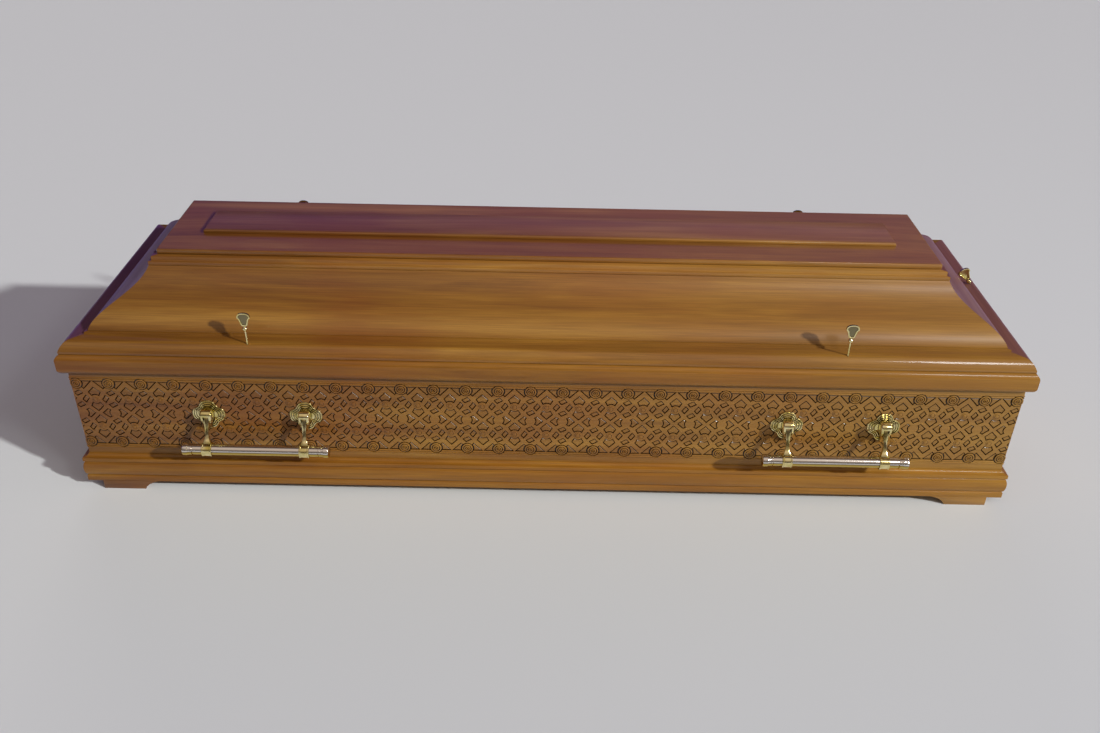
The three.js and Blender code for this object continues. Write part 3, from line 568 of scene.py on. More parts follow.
def prism(points, way):
    """The same face extruded along a way."""
    piece = drawn_face(points)
    pulled(way)
    faces_outwards()
    return piece


def arc(centre, radii, start, end, steps):
    """Points of an elliptic arc between two angles in degrees."""
    angles = [math.radians(start + (end - start) * i / steps) for i in range(steps + 1)]
    return [Vector((centre[0] + radii[0] * math.cos(a), centre[1] + radii[1] * math.sin(a))) for a in angles]


def bend(start, corner, end, steps=CURVE_STEPS):
    """Points of a quadratic curve."""
    start, corner, end = Vector(start), Vector(corner), Vector(end)
    shares = [i / steps for i in range(steps + 1)]
    return [start * (1 - t) ** 2 + corner * 2 * t * (1 - t) + end * t ** 2 for t in shares]


def bevelled(piece, width, segments=2, angle=35):
    """Rounds the sharp edges of a piece."""
    only(piece)
    modifier = piece.modifiers.new("arris", "BEVEL")
    modifier.width = width
    modifier.segments = segments
    modifier.limit_method = "ANGLE"
    modifier.angle_limit = math.radians(angle)
    modifier.harden_normals = False
    bpy.ops.object.modifier_apply(modifier=modifier.name)
    return piece


def cut(piece, tool, operation="DIFFERENCE"):
    """Cuts one closed piece by another, or joins them, and removes the second."""
    only(piece)
    modifier = piece.modifiers.new("cut", "BOOLEAN")
    modifier.operation = operation
    modifier.solver = "EXACT"
    modifier.object = tool
    bpy.ops.object.modifier_apply(modifier=modifier.name)
    bpy.data.objects.remove(tool, do_unlink=True)
    return piece


def joined(pieces):
    """Several objects made one."""
    only(pieces[0])
    for piece in pieces[1:]:
        piece.select_set(True)
    bpy.ops.object.join()
    return bpy.context.object


def copied(piece, matrix):
    """A copy of a piece with a mesh of its own, moved by a matrix in its mesh."""
    copy = piece.copy()
    copy.data = piece.data.copy()
    bpy.context.scene.collection.objects.link(copy)
    copy.data.transform(matrix)
    if matrix.determinant() < 0:
        copy.data.flip_normals()
    return copy


def finish_piece(piece, name, body, slot, material, *nodes):
    """Names and smooths a piece, gives it its finish and body, and hides the nodes that it stands for."""
    only(piece)
    piece.name = name
    piece.data.name = name
    piece.data.materials.clear()
    piece.data.materials.append(material)
    for polygon in piece.data.polygons:
        polygon.material_index = 0
    bpy.ops.object.shade_smooth_by_angle(angle=SMOOTH_ANGLE)
    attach(piece, body)
    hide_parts(*nodes)
    return piece


# The long sides and the ends: the half run of each, how far its rim is from the middle, and the turn that
# takes the first of the two to its place
LONG_SIDES = {"half_run": HALF_LENGTH, "reach": HALF_WIDTH, "turns": (("front", 0), ("back", 180))}
ENDS = {"half_run": HALF_WIDTH, "reach": HALF_LENGTH, "turns": (("right", 90), ("left", -90))}
MITRE_WASTE = 30 * MM


def mitre(piece, half_run, reach):
    """Cuts both ends of a length that faces -Y at 45 degrees."""
    for end in (-1, 1):
        edit(piece)
        bpy.ops.mesh.bisect(
            plane_co=(end * (half_run - JOINT), -reach, 0), plane_no=(end, 1, 0), use_fill=True,
            clear_outer=True,
        )
    object_mode()
    return piece


def length_of(profile, half_run, reach, arris):
    """A straight length of a profile of insets and heights, facing -Y, with soft arrises and mitred ends."""
    start = -half_run - MITRE_WASTE
    piece = prism([Vector((start, p[0] - reach, p[1])) for p in profile], (-2 * start, 0, 0))
    bevelled(piece, arris)
    return mitre(piece, half_run, reach)


def turned_copies(piece, sides):
    """The piece in each of its two places, with the side's name."""
    for side, turn in sides["turns"]:
        yield side, copied(piece, Matrix.Rotation(math.radians(turn), 4, "Z"))
    bpy.data.objects.remove(piece, do_unlink=True)


def moulding(part, profile, finishes=(EDGE_WALNUT, CROSSWISE_WALNUT), arris=ARRIS, holes=None):
    """A moulding round the coffin: two long lengths and two end lengths of one profile."""
    for sides, finish in zip((LONG_SIDES, ENDS), finishes):
        length = length_of(profile, sides["half_run"], sides["reach"], arris)
        for side, piece in turned_copies(length, sides):
            if holes:
                holes(piece, side)
            finish_piece(piece, f"{side}_{part}", "root", "varnished_walnut", finish, f"{part}_{side}")


def plinth_profile():
    fillet_top = BOX_BOTTOM + FILLET_HEIGHT
    torus_bottom = fillet_top + QUIRK_HEIGHT
    torus_middle = torus_bottom + TORUS_HEIGHT / 2
    lip_bottom = torus_bottom + TORUS_HEIGHT + QUIRK_HEIGHT
    lip_top = lip_bottom + LIP_HEIGHT
    return [
        (FILLET_INSET, BOX_BOTTOM), (PLINTH_BACK, BOX_BOTTOM), (PLINTH_BACK, PLINTH_TOP),
        *bend((PLINTH_BACK - COVE_TOP, PLINTH_TOP), (PLINTH_BACK - COVE_BEND, lip_top), (LIP_INSET, lip_top)),
        (LIP_INSET, lip_bottom),
        *arc((QUIRK_INSET, torus_middle), (QUIRK_INSET, TORUS_HEIGHT / 2), 90, 270, TORUS_STEPS),
        (FILLET_INSET, fillet_top),
    ]


def rim_profile():
    return [
        (PLINTH_BACK, RIM_BOTTOM), (PLINTH_BACK, BOX_TOP),
        *arc((RIM_ROUND, BOX_TOP - RIM_ROUND), (RIM_ROUND, RIM_ROUND), 90, 180, CURVE_STEPS),
        *arc((RIM_ROUND, RIM_BOTTOM + RIM_ROUND), (RIM_ROUND, RIM_ROUND), 180, 270, CURVE_STEPS),
    ]


def rail_profile():
    inner = RAIL_INSET + RAIL_WIDTH
    flat_top = RAIL_TOP - RAIL_STEP_HEIGHT
    round_start = (RAIL_INSET + RAIL_ROUND_WIDTH, flat_top)
    round_bend = (RAIL_INSET + RAIL_BEND_WIDTH, flat_top - RAIL_BEND_HEIGHT)
    round_end = (RAIL_INSET, flat_top - RAIL_ROUND_HEIGHT)
    return [
        (RAIL_INSET, RAIL_BOTTOM), (inner, RAIL_BOTTOM), (inner, RAIL_TOP), (RAIL_STEP_INSET, RAIL_TOP),
        (RAIL_STEP_INSET, flat_top), *bend(round_start, round_bend, round_end),
    ]


def slope_profile():
    foot = Vector((SLOPE_FOOT_INSET, SLOPE_BOTTOM))
    top = Vector((SLOPE_TOP_INSET, SLOPE_TOP))
    leave = foot + Vector((math.cos(SLOPE_FOOT_ANGLE), math.sin(SLOPE_FOOT_ANGLE))) * SLOPE_FOOT_HANDLE
    arrive = top - Vector((math.cos(SLOPE_TOP_ANGLE), math.sin(SLOPE_TOP_ANGLE))) * SLOPE_TOP_HANDLE
    outer, inner = [], []
    for i in range(SLOPE_STEPS + 1):
        t = i / SLOPE_STEPS
        u = 1 - t
        point = foot * u ** 3 + leave * 3 * u ** 2 * t + arrive * 3 * u * t ** 2 + top * t ** 3
        way = (leave - foot) * u ** 2 + (arrive - leave) * 2 * u * t + (top - arrive) * t ** 2
        way.normalize()
        outer.append(point)
        inner.append(point + Vector((way.y, -way.x)) * SLOPE_THICKNESS)
    # Both ends of the inner face are carried on to the level of the outer one. It keeps every fourth point
    inner[0] += Vector(((SLOPE_BOTTOM - inner[0].y) / math.tan(SLOPE_FOOT_ANGLE), SLOPE_BOTTOM - inner[0].y))
    inner[-1] += Vector(((SLOPE_TOP - inner[-1].y) / math.tan(SLOPE_TOP_ANGLE), SLOPE_TOP - inner[-1].y))
    return inner[::4] + outer[::-1]


def cornice_profile():
    outer = SLOPE_TOP_INSET
    step = CORNICE_BOTTOM + CORNICE_STEP_HEIGHT
    inner = outer + CORNICE_WIDTH
    return [
        (outer, CORNICE_BOTTOM), (inner, CORNICE_BOTTOM), (inner, CORNICE_TOP),
        (outer + CORNICE_STEP, CORNICE_TOP), (outer + CORNICE_STEP, step), (outer, step),
    ]


def reeds(bottom):
    """Two half-round reeds with quirks beside them, as points from the bottom up."""
    points = [Vector((WALL_FACE, bottom))]
    for i in range(2):
        centre = (WALL_FACE + REED_QUIRK, bottom + REED_WIDTH * (i + 0.5))
        points += arc(centre, (REED_RISE + REED_QUIRK, REED_WIDTH / 2), -90, -270, REED_STEPS)[(i > 0):]
    return points + [Vector((WALL_FACE, bottom + 2 * REED_WIDTH))]


def wall_profile():
    back = WALL_FACE + WALL_THICKNESS
    return [
        (WALL_FACE, WALL_BOTTOM), *reeds(LOWER_REEDS), *reeds(UPPER_REEDS),
        (WALL_FACE, BOX_TOP), (back, BOX_TOP), (back, WALL_BOTTOM),
    ]


def border_pocket():
    """Outline of the pocket between a rosette, the border rail and a band, to the upper right of a column."""
    top = math.degrees(math.asin((BORDER_LINE - ROSETTE_HEIGHT) / ROSETTE_CLEAR))
    edge = arc((0, ROSETTE_HEIGHT), (ROSETTE_CLEAR, ROSETTE_CLEAR), BORDER_ARC_START, top, POCKET_ARC_STEPS)
    return [BORDER_APEX, BORDER_TIP, *edge]


def lozenge(x, z, lean):
    """Outline of a small slanting pocket where bands cross."""
    lean = math.radians(lean)
    along = Vector((math.cos(lean), math.sin(lean))) * LOZENGE_LENGTH / 2
    across = Vector((math.cos(LOZENGE_END_ANGLE), math.sin(LOZENGE_END_ANGLE))) * LOZENGE_WIDTH / 2
    middle = Vector((x, z))
    return [
        middle + along + across, middle + along - across, middle - along - across, middle - along + across,
    ]


def chevron():
    """Outline of the pocket above a knot: a roof over an arc round the knot."""
    return [
        Vector((0, KNOT_HEIGHT + CHEVRON_APEX)), Vector((CHEVRON_HALF_WIDTH, KNOT_HEIGHT + CHEVRON_LEG)),
        *arc((0, KNOT_HEIGHT), (KNOT_CLEAR, KNOT_CLEAR), *KNOT_ARC, POCKET_ARC_STEPS),
        Vector((-CHEVRON_HALF_WIDTH, KNOT_HEIGHT + CHEVRON_LEG)),
    ]


def disc_pocket():
    """Outline of the pocket to the right of the disc in the middle of a column."""
    edge = arc((0, 0), (DISC_CLEAR, DISC_CLEAR), *DISC_ARC, POCKET_ARC_STEPS)
    return [Vector((DISC_TIP, 0)), DISC_CORNER, *edge, Vector((DISC_CORNER.x, -DISC_CORNER.y))]


def grown(outline, margin):
    """An outline with each side moved out by a margin, whichever way round it is drawn."""
    doubled_area = sum(a.cross(b) for a, b in zip(outline, outline[1:] + outline[:1]))
    outwards = margin if doubled_area > 0 else -margin
    moved = []
    for before, point, after in zip(outline[-1:] + outline[:-1], outline, outline[1:] + outline[:1]):
        into, out = (point - before).normalized(), (after - point).normalized()
        corner = (Vector((into.y, -into.x)) + Vector((out.y, -out.x))).normalized()
        moved.append(point + corner * outwards / max(MITRE_LIMIT, corner.dot(Vector((out.y, -out.x)))))
    return moved


def pocket_tool(outline):
    """A cutter for one pocket, which leaves a groove round a raised floor. The outline runs along the middle
    of the groove."""
    face_y = WALL_FACE - HALF_WIDTH
    before = face_y - 2 * GROOVE_DEPTH
    deep = face_y + GROOVE_DEPTH
    edge = grown([Vector(p) for p in outline], GROOVE_WIDTH / 2)
    tool = prism([Vector((p.x, before, CARVING_CENTRE + p.y)) for p in edge], (0, deep - before, 0))
    select_faces(tool, lambda centre, normal: normal.y > FACING and centre.y > deep - JOINT)
    bpy.ops.mesh.inset(thickness=GROOVE_WIDTH, depth=0)
    bpy.ops.transform.translate(value=(0, FLOOR_DEPTH - GROOVE_DEPTH, 0))
    object_mode()
    return tool


def mirrored_outlines(outline, ways):
    """An outline mirrored about the column, the middle line, or both."""
    return [[Vector((p[0] * x, p[1] * z)) for p in outline] for x, z in ways]


ALL_WAYS = ((1, 1), (-1, 1), (1, -1), (-1, -1))


def carving_tools():
    """One cutter for all the pockets of a column, and of the knots to each side of it."""
    outlines = mirrored_outlines(border_pocket(), ALL_WAYS) + mirrored_outlines(disc_pocket(), ALL_WAYS[:2])
    for x, z, lean in LOZENGES:
        outlines.append(lozenge(x, z, lean))
        outlines.append(lozenge(x, -z, lean))
    lower_chevron = [Vector((p[0], 2 * KNOT_HEIGHT - p[1])) for p in chevron()]
    for outline in (chevron(), lower_chevron):
        for x in (-PERIOD / 2, PERIOD / 2):
            outlines.append([Vector((p[0] + x, p[1])) for p in outline])
            outlines.append([Vector((p[0] + x, -p[1])) for p in outline])
    return joined([pocket_tool(outline) for outline in outlines])


def relief_boss(x, z, radius, sides, root, rise, steps=()):
    """A round boss from its root below the wall's face to its rise above it, its front worked in rings by
    insets of (width, rise)."""
    face_y = WALL_FACE - HALF_WIDTH
    bpy.ops.object.select_all(action="DESELECT")
    bpy.ops.mesh.primitive_cylinder_add(
        vertices=sides, radius=radius, depth=root + rise, end_fill_type="NGON",
        location=(x, face_y + (root - rise) / 2, CARVING_CENTRE + z), rotation=(math.pi / 2, 0, 0),
    )
    bpy.ops.object.transform_apply()
    boss = edit(bpy.context.object)
    bpy.ops.mesh.normals_make_consistent(inside=False)
    select_faces(boss, lambda centre, normal: normal.y < -FACING)
    for width, rise in steps:
        bpy.ops.mesh.inset(thickness=width, depth=rise)
    object_mode()
    return boss


ROSETTE_STEPS = tuple((width * MM, rise * MM) for width, rise in (
    (2.6, 0.4), (0.3, -3.4), (1.5, 0), (0.3, 3.4), (2.4, 0.3), (0.3, -3.2), (1.0, 0), (0.3, 3.2), (1.2, 0.3),
    (0.5, -2.8),
))
KNOT_STEPS = tuple((width * MM, rise * MM) for width, rise in (
    (1.9, 0.3), (0.3, -2.2), (0.9, 0), (0.3, 2.2), (1.5, 0.3),
))
BOSS_ROOT = 5 * MM


def carved_tile():
    """One period of the carved wall, open at both ends, so that copies of it meet."""
    profile = [Vector((-1.5 * PERIOD, p[0] - HALF_WIDTH, p[1])) for p in wall_profile()]
    tile = prism(profile, (3 * PERIOD, 0, 0))
    for end in (-1, 1):
        bpy.ops.mesh.select_all(action="SELECT")
        bpy.ops.mesh.bisect(plane_co=(end * PERIOD / 2, 0, 0), plane_no=(end, 0, 0))
    object_mode()
    cut(tile, carving_tools())
    for z in (-ROSETTE_HEIGHT, ROSETTE_HEIGHT):
        cut(tile, relief_boss(0, z, ROSETTE_WELL, ROSETTE_SIDES, GROOVE_DEPTH, BOSS_ROOT))
    bosses = [
        relief_boss(0, z, ROSETTE_RADIUS, ROSETTE_SIDES, BOSS_ROOT, ROSETTE_RISE, ROSETTE_STEPS)
        for z in (-ROSETTE_HEIGHT, ROSETTE_HEIGHT)
    ]
    for x in (-PERIOD / 2, PERIOD / 2):
        for z in (-KNOT_HEIGHT, KNOT_HEIGHT):
            bosses.append(relief_boss(x, z, KNOT_RADIUS, KNOT_SIDES, BOSS_ROOT, KNOT_RISE, KNOT_STEPS))
    cut(tile, joined(bosses), "UNION")
    for end in (-1, 1):
        edit(tile)
        bpy.ops.mesh.bisect(plane_co=(end * PERIOD / 2, 0, 0), plane_no=(end, 0, 0), clear_outer=True)
    object_mode()
    return tile


def carved_sides():
    """The two long walls: the tile repeated along them, mitred at the corners."""
    wall = carved_tile()
    wall.data.transform(Matrix.Translation(((0.5 - PERIODS / 2) * PERIOD, 0, 0)))
    only(wall)
    row = wall.modifiers.new("row", "ARRAY")
    row.count = PERIODS
    row.use_relative_offset = False
    row.use_constant_offset = True
    row.constant_offset_displace = (PERIOD, 0, 0)
    row.use_merge_vertices = True
    row.merge_threshold = 2 * WELD
    bpy.ops.object.modifier_apply(modifier=row.name)
    mitre(wall, HALF_LENGTH, HALF_WIDTH)
    for side, piece in turned_copies(wall, LONG_SIDES):
        finish_piece(
            piece, f"{side}_carved_wall", "root", "carved_walnut", CARVED_WALNUT, f"side_panel_{side}",
        )


def plain_ends():
    """The two end walls, with the same border rails and no carving."""
    length = length_of(wall_profile(), HALF_WIDTH, HALF_LENGTH, END_WALL_ARRIS)
    for side, piece in turned_copies(length, ENDS):
        finish_piece(
            piece, f"{side}_end_wall", "root", "varnished_walnut", CROSSWISE_WALNUT, f"end_panel_{side}",
        )


def shank_hole(x, y, lean):
    """A cutter for the hole that a closing screw's shank goes through."""
    bpy.ops.object.select_all(action="DESELECT")
    bpy.ops.mesh.primitive_cylinder_add(
        vertices=PIN_STEPS, radius=SHANK_RADIUS + SHANK_CLEARANCE, depth=4 * SCREW_DEPTH,
    )
    hole = bpy.context.object
    place = Matrix.Translation((x, y, RAIL_TOP - RAIL_STEP_HEIGHT))
    hole.data.transform(place @ Matrix.Rotation(lean, 4, "Y"))
    return hole


def drill_rail(rail, side):
    """Drills a lid rail for its closing screws."""
    rim_y = HALF_WIDTH - SCREW_INSET
    if side in ("front", "back"):
        for end in (-1, 1):
            cut(rail, shank_hole(end * SCREW_X, -rim_y if side == "front" else rim_y, 0))
    elif side == "right":
        cut(rail, shank_hole(HALF_LENGTH - END_SCREW_INSET, END_SCREW_Y, -END_SCREW_LEAN))


def box_board(low, high):
    """A board between two corners, opened for editing."""
    bpy.ops.object.select_all(action="DESELECT")
    bpy.ops.mesh.primitive_cube_add(size=1, location=(low + high) / 2, scale=high - low)
    bpy.ops.object.transform_apply()
    return edit(bpy.context.object)


def top_boards():
    """The top board, which rises a little towards the raised field, and the field with its bevelled edge."""
    low, high = TOP_BOARD_LOW.copy(), TOP_BOARD_HIGH.copy()
    high.z -= BOARD_RISE
    board = box_board(low, high)
    select_faces(board, lambda centre, normal: normal.z > FACING)
    bpy.ops.mesh.inset(thickness=BOARD_ROUND + JOINT, depth=0)
    bpy.ops.mesh.inset(thickness=FIELD_LOW.x - low.x - BOARD_ROUND, depth=BOARD_RISE)
    bevelled(board, BOARD_ROUND, segments=4, angle=60)
    finish_piece(board, "top_board", "root", "varnished_walnut", TOP_BOARD_WALNUT, "lid_top_board")

    low, high = FIELD_LOW.copy(), FIELD_HIGH.copy()
    high.z -= FIELD_BEVEL
    field = box_board(low, high)
    select_faces(field, lambda centre, normal: normal.z > FACING)
    bpy.ops.mesh.inset(thickness=FIELD_BEVEL, depth=FIELD_BEVEL)
    bevelled(field, FIELD_ARRIS, angle=30)
    finish_piece(field, "raised_field", "root", "varnished_walnut", FIELD_WALNUT, "lid_raised_field")


def feet():
    """Four bracket feet, each scooped out towards the middle of the coffin."""
    height = BOX_BOTTOM - GAP
    scoop = (FOOT_LENGTH - FOOT_SCOOP * FOOT_SCOOP_BEND, height * FOOT_SCOOP_LIFT)
    under = bend((FOOT_LENGTH - FOOT_SCOOP, 0), scoop, (FOOT_LENGTH, height))
    outline = [Vector((0, 0)), *under, Vector((0, height))]
    foot = prism([Vector((p.x, 0, p.y)) for p in outline], (0, FOOT_DEPTH, 0))
    bevelled(foot, FOOT_ARRIS, angle=40)
    for end in ("left", "right"):
        for side in ("front", "back"):
            low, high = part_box(f"foot_{side}_{end}")
            flip = Matrix.Diagonal((-1 if end == "right" else 1, 1, 1, 1))
            corner = (high.x if end == "right" else low.x, low.y, 0)
            piece = copied(foot, Matrix.Translation(corner) @ flip)
            finish_piece(
                piece, f"{side}_{end}_foot", "root", "varnished_walnut", LENGTHWISE_WALNUT,
                f"foot_{side}_{end}",
            )
    bpy.data.objects.remove(foot, do_unlink=True)


def turned(points, centre, axis, steps=TURNED_STEPS):
    """A piece turned from a line of points, about an axis through a point."""
    piece = drawn_line(points)
    bpy.ops.mesh.spin(steps=steps, angle=2 * math.pi, center=centre, axis=axis)
    faces_outwards()
    object_mode()
    return piece


PIVOT = Vector((0, -PIVOT_REACH, PIVOT_RISE))
BAR_AXIS = Vector((0, -BAR_REACH, -BAR_DROP))
ARM_LINE = BAR_AXIS - PIVOT
ARM_WAY = ARM_LINE.normalized()
ARM_FRONT = Vector((0, ARM_WAY.z, -ARM_WAY.y))


def slab(outline, width):
    """A solid across X from an outline of (reach, height) in the plane where an arm swings."""
    piece = prism([Vector((-width / 2, -p[0], p[1])) for p in outline], (width, 0, 0))
    object_mode()
    return piece


def lofted(section, stations):
    """A solid up Z, its section extruded through stations of (height, width, depth)."""
    height, width, depth = stations[0]
    piece = drawn_face([Vector((p[0] * width, p[1] * depth, height)) for p in section])
    for last, station in zip(stations, stations[1:]):
        pulled((0, 0, station[0] - last[0]))
        bpy.ops.transform.resize(
            value=(station[1] / last[1], station[2] / last[2], 1), center_override=(0, 0, station[0]),
        )
    faces_outwards()
    object_mode()
    return piece


def escutcheon_plate():
    """A quatrefoil plate with ridges, one within the other, rising to its crown."""
    outline = []
    for i in range(ESCUTCHEON_POINTS):
        angle = i / ESCUTCHEON_POINTS * 2 * math.pi
        lobes = ESCUTCHEON_LOBE * math.cos(4 * angle) - ESCUTCHEON_FLAT * math.cos(8 * angle)
        radius = ESCUTCHEON_RADIUS + lobes
        outline.append((radius * math.cos(angle), radius * math.sin(angle)))
    plate = lofted(outline, [(height, share, share) for height, share in ESCUTCHEON_RIDGES])
    plate.data.transform(Matrix.Rotation(math.pi / 2, 4, "X"))
    return plate


def hinge_lug():
    """The hinge lug: splayed cheeks with a pointed tail, a slot for the arm, and a bridge over it."""
    lug = lofted(LUG_SECTION, LUG_STATIONS)
    lug.data.transform(Matrix.Translation((0, -LUG_BACK, 0)))
    bevelled(lug, LUG_ARRIS, segments=3, angle=30)
    back = ARM_THICKNESS / 2 + ARM_CLEARANCE
    behind_pivot = PIVOT - ARM_FRONT * back
    behind_arm = behind_pivot + ARM_LINE
    slot = slab([
        (PIVOT_REACH - back, PIVOT_RISE), (-behind_pivot.y, behind_pivot.z), (-behind_arm.y, behind_arm.z),
        (BAR_REACH, behind_arm.z), (BAR_REACH, PIVOT_RISE + back), (PIVOT_REACH - back, PIVOT_RISE + back),
    ], ARM_WIDTH + 2 * ARM_CLEARANCE)
    return cut(lug, slot)


def escutcheon():
    return cut(escutcheon_plate(), hinge_lug(), "UNION")


def handle_arm():
    """A swinging arm: a waisted strap, rounded over its pin, that widens to the bar's collar."""
    length = ARM_LINE.length - BAR_RADIUS - (COLLAR_WAIST - 1) * MM
    strap = lofted(ARM_SECTION, [
        (-length * along, ARM_WIDTH * width, ARM_THICKNESS * depth) for along, width, depth in ARM_STATIONS
    ])
    lean = math.atan2(-ARM_LINE.y, -ARM_LINE.z)
    strap.data.transform(Matrix.Translation(PIVOT) @ Matrix.Rotation(-lean, 4, "X"))
    line = [(-PIN_HALF, 0), (-PIN_HALF, PIN_RADIUS), (PIN_HALF, PIN_RADIUS), (PIN_HALF, 0)]
    pin = turned([PIVOT + Vector((x, 0, r)) for x, r in line], PIVOT, (1, 0, 0), PIN_STEPS)
    right = [(x * MM, BAR_RADIUS + rise * MM) for x, rise in COLLAR_LINE]
    left = [(-x, radius) for x, radius in right[::-1]]
    ring = left[-1:] + right + left
    collar = turned([BAR_AXIS + Vector((x, 0, r)) for x, r in ring], BAR_AXIS, (1, 0, 0))
    cut(strap, pin, "UNION")
    return cut(strap, collar, "UNION")


def handle_bar():
    """A turned bar with flared and ringed caps."""
    start = BAR_LENGTH / 2 - CAP_LENGTH
    end = [(start + x * MM, BAR_RADIUS + rise * MM) for x, rise in CAP_LINE]
    line = [(-x, r) for x, r in end[::-1]] + end
    return turned([BAR_AXIS + Vector((x, 0, r)) for x, r in line], BAR_AXIS, (1, 0, 0))


def handles():
    """Four swinging handles, each a bar on two arms that hinge on two escutcheons."""
    plate, arm, bar = escutcheon(), handle_arm(), handle_bar()
    for side, turn in (("front", 0), ("back", math.pi)):
        wall = (WALL_FACE - HALF_WIDTH) * (1 if side == "front" else -1)
        for end in ("left", "right"):
            body = f"handle_{side}_{end}"
            bar_low, bar_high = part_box(f"handle_bar_{side}_{end}")
            middle = Matrix.Translation(((bar_low.x + bar_high.x) / 2, wall, ESCUTCHEON_HEIGHT))
            turning = Matrix.Rotation(turn, 4, "Z")
            piece = copied(bar, middle @ turning)
            finish_piece(
                piece, f"{side}_{end}_bar", body, "polished_bar", POLISHED_BAR, f"handle_bar_{side}_{end}",
            )
            for place in ("outer", "inner"):
                low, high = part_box(f"escutcheon_{side}_{end}_{place}")
                put = Matrix.Translation(((low.x + high.x) / 2, wall, ESCUTCHEON_HEIGHT)) @ turning
                finish_piece(
                    copied(plate, put), f"{side}_{end}_{place}_escutcheon", "root", "pale_brass", CAST_BRASS,
                    f"escutcheon_{side}_{end}_{place}",
                )
                finish_piece(
                    copied(arm, put), f"{side}_{end}_{place}_arm", body, "pale_brass", CAST_BRASS,
                    f"handle_arm_{side}_{end}_{place}",
                )
    for pattern in (plate, arm, bar):
        bpy.data.objects.remove(pattern, do_unlink=True)


def closing_screw():
    """A closing screw standing at the origin: a turned shank and ball, and a paddle with a raised rim."""
    ball = SCREW_EXPOSED + BALL_RADIUS
    foot = SCREW_EXPOSED + PADDLE_NECK
    line = [
        (0, -SCREW_DEPTH), (SHANK_RADIUS * SHANK_TIP, -SCREW_DEPTH),
        (SHANK_RADIUS, SHANK_POINT - SCREW_DEPTH), (SHANK_RADIUS, SCREW_EXPOSED - BALL_QUIRK),
        *arc((0, ball), (BALL_RADIUS, BALL_RADIUS), *BALL_ARC, CURVE_STEPS),
        (PADDLE_TENON, foot + TENON_START), (PADDLE_TENON, foot + TENON_END), (0, foot + TENON_TIP),
    ]
    stem = turned([Vector((p[0], 0, p[1])) for p in line], (0, 0, 0), (0, 0, 1), SHANK_STEPS)
    top = foot + PADDLE_LENGTH
    half_top, half_foot = PADDLE_TOP_WIDTH / 2, PADDLE_FOOT_WIDTH / 2
    flare = (half_foot + PADDLE_FLARE[0], foot + PADDLE_FLARE[1])
    crest = (half_top, top - PADDLE_CREST)
    right = [
        *bend((half_foot - PADDLE_FOOT_ROUND, foot), (half_foot, foot), flare, steps=4),
        Vector((half_top - PADDLE_SWELL[0], top - PADDLE_SWELL[1])),
        *bend((half_top, top - PADDLE_CORNER), crest, (half_top - PADDLE_CORNER, top), steps=7),
    ]
    outline = right + [Vector((-p.x, p.y)) for p in right[::-1]]
    half = PADDLE_THICKNESS / 2
    paddle = prism([Vector((p.x, -half, p.y)) for p in outline], (0, PADDLE_THICKNESS, 0))
    select_faces(paddle, lambda centre, normal: abs(normal.y) > FACING)
    bpy.ops.mesh.inset(thickness=PADDLE_RIM, depth=0)
    bpy.ops.mesh.inset(thickness=PADDLE_RIM_SLOPE, depth=-PADDLE_RECESS)
    bevelled(paddle, PADDLE_ARRIS, angle=40)
    return cut(stem, paddle, "UNION")


def closing_screws():
    """Four screws upright in the long rails, and a shorter one leaning in the right end rail."""
    upright = closing_screw()
    surface = RAIL_TOP - RAIL_STEP_HEIGHT
    rim_y = HALF_WIDTH - SCREW_INSET
    for side, y in (("front", -rim_y), ("back", rim_y)):
        for end, x in (("left", -SCREW_X), ("right", SCREW_X)):
            finish_piece(
                copied(upright, Matrix.Translation((x, y, surface))), f"{side}_{end}_closing_screw", "root",
                "pale_brass", SCREW_BRASS, f"closing_screw_{side}_{end}",
            )
    edit(upright)
    bpy.ops.mesh.bisect(
        plane_co=(0, 0, SCREW_EXPOSED - END_SCREW_EXPOSED - END_SCREW_DEPTH), plane_no=(0, 0, -1),
        use_fill=True, clear_outer=True,
    )
    object_mode()
    put = Matrix.Translation((HALF_LENGTH - END_SCREW_INSET, END_SCREW_Y, surface))
    lean = Matrix.Rotation(-END_SCREW_LEAN, 4, "Y")
    upright.data.transform(put @ lean @ Matrix.Translation((0, 0, END_SCREW_EXPOSED - SCREW_EXPOSED)))
    finish_piece(
        upright, "right_end_closing_screw", "root", "pale_brass", CAST_BRASS, "closing_screw_right_end",
    )


def base_board():
    """The base board keeps its solid and takes the walnut finish."""
    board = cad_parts["base_board"]
    for slot in board.material_slots:
        slot.material = LENGTHWISE_WALNUT


# Camera at the photograph's place, looking down at the front
CAMERA_PLACE = Vector((0.003126, -2.115273, 1.469937))
CAMERA_YAW = 0.0012788673
CAMERA_PITCH = 0.5583910633
CAMERA_ROLL = 0.0203240436
SENSOR_WIDTH = 36.0
LENS = 33.709


def camera():
    forward = Vector((
        math.sin(CAMERA_YAW) * math.cos(CAMERA_PITCH), math.cos(CAMERA_YAW) * math.cos(CAMERA_PITCH),
        -math.sin(CAMERA_PITCH),
    ))
    right = Vector((math.cos(CAMERA_YAW), -math.sin(CAMERA_YAW), 0))
    up = right.cross(forward)
    rolled_right = right * math.cos(CAMERA_ROLL) + up * math.sin(CAMERA_ROLL)
    rolled_up = up * math.cos(CAMERA_ROLL) - right * math.sin(CAMERA_ROLL)
    data = bpy.data.cameras.new("camera")
    data.sensor_fit = "HORIZONTAL"
    data.sensor_width = SENSOR_WIDTH
    data.lens = LENS
    made = bpy.data.objects.new("camera", data)
    turn = Matrix((rolled_right, rolled_up, -forward)).transposed().to_4x4()
    made.matrix_world = Matrix.Translation(CAMERA_PLACE) @ turn
    bpy.context.scene.collection.objects.link(made)
    bpy.context.scene.camera = made


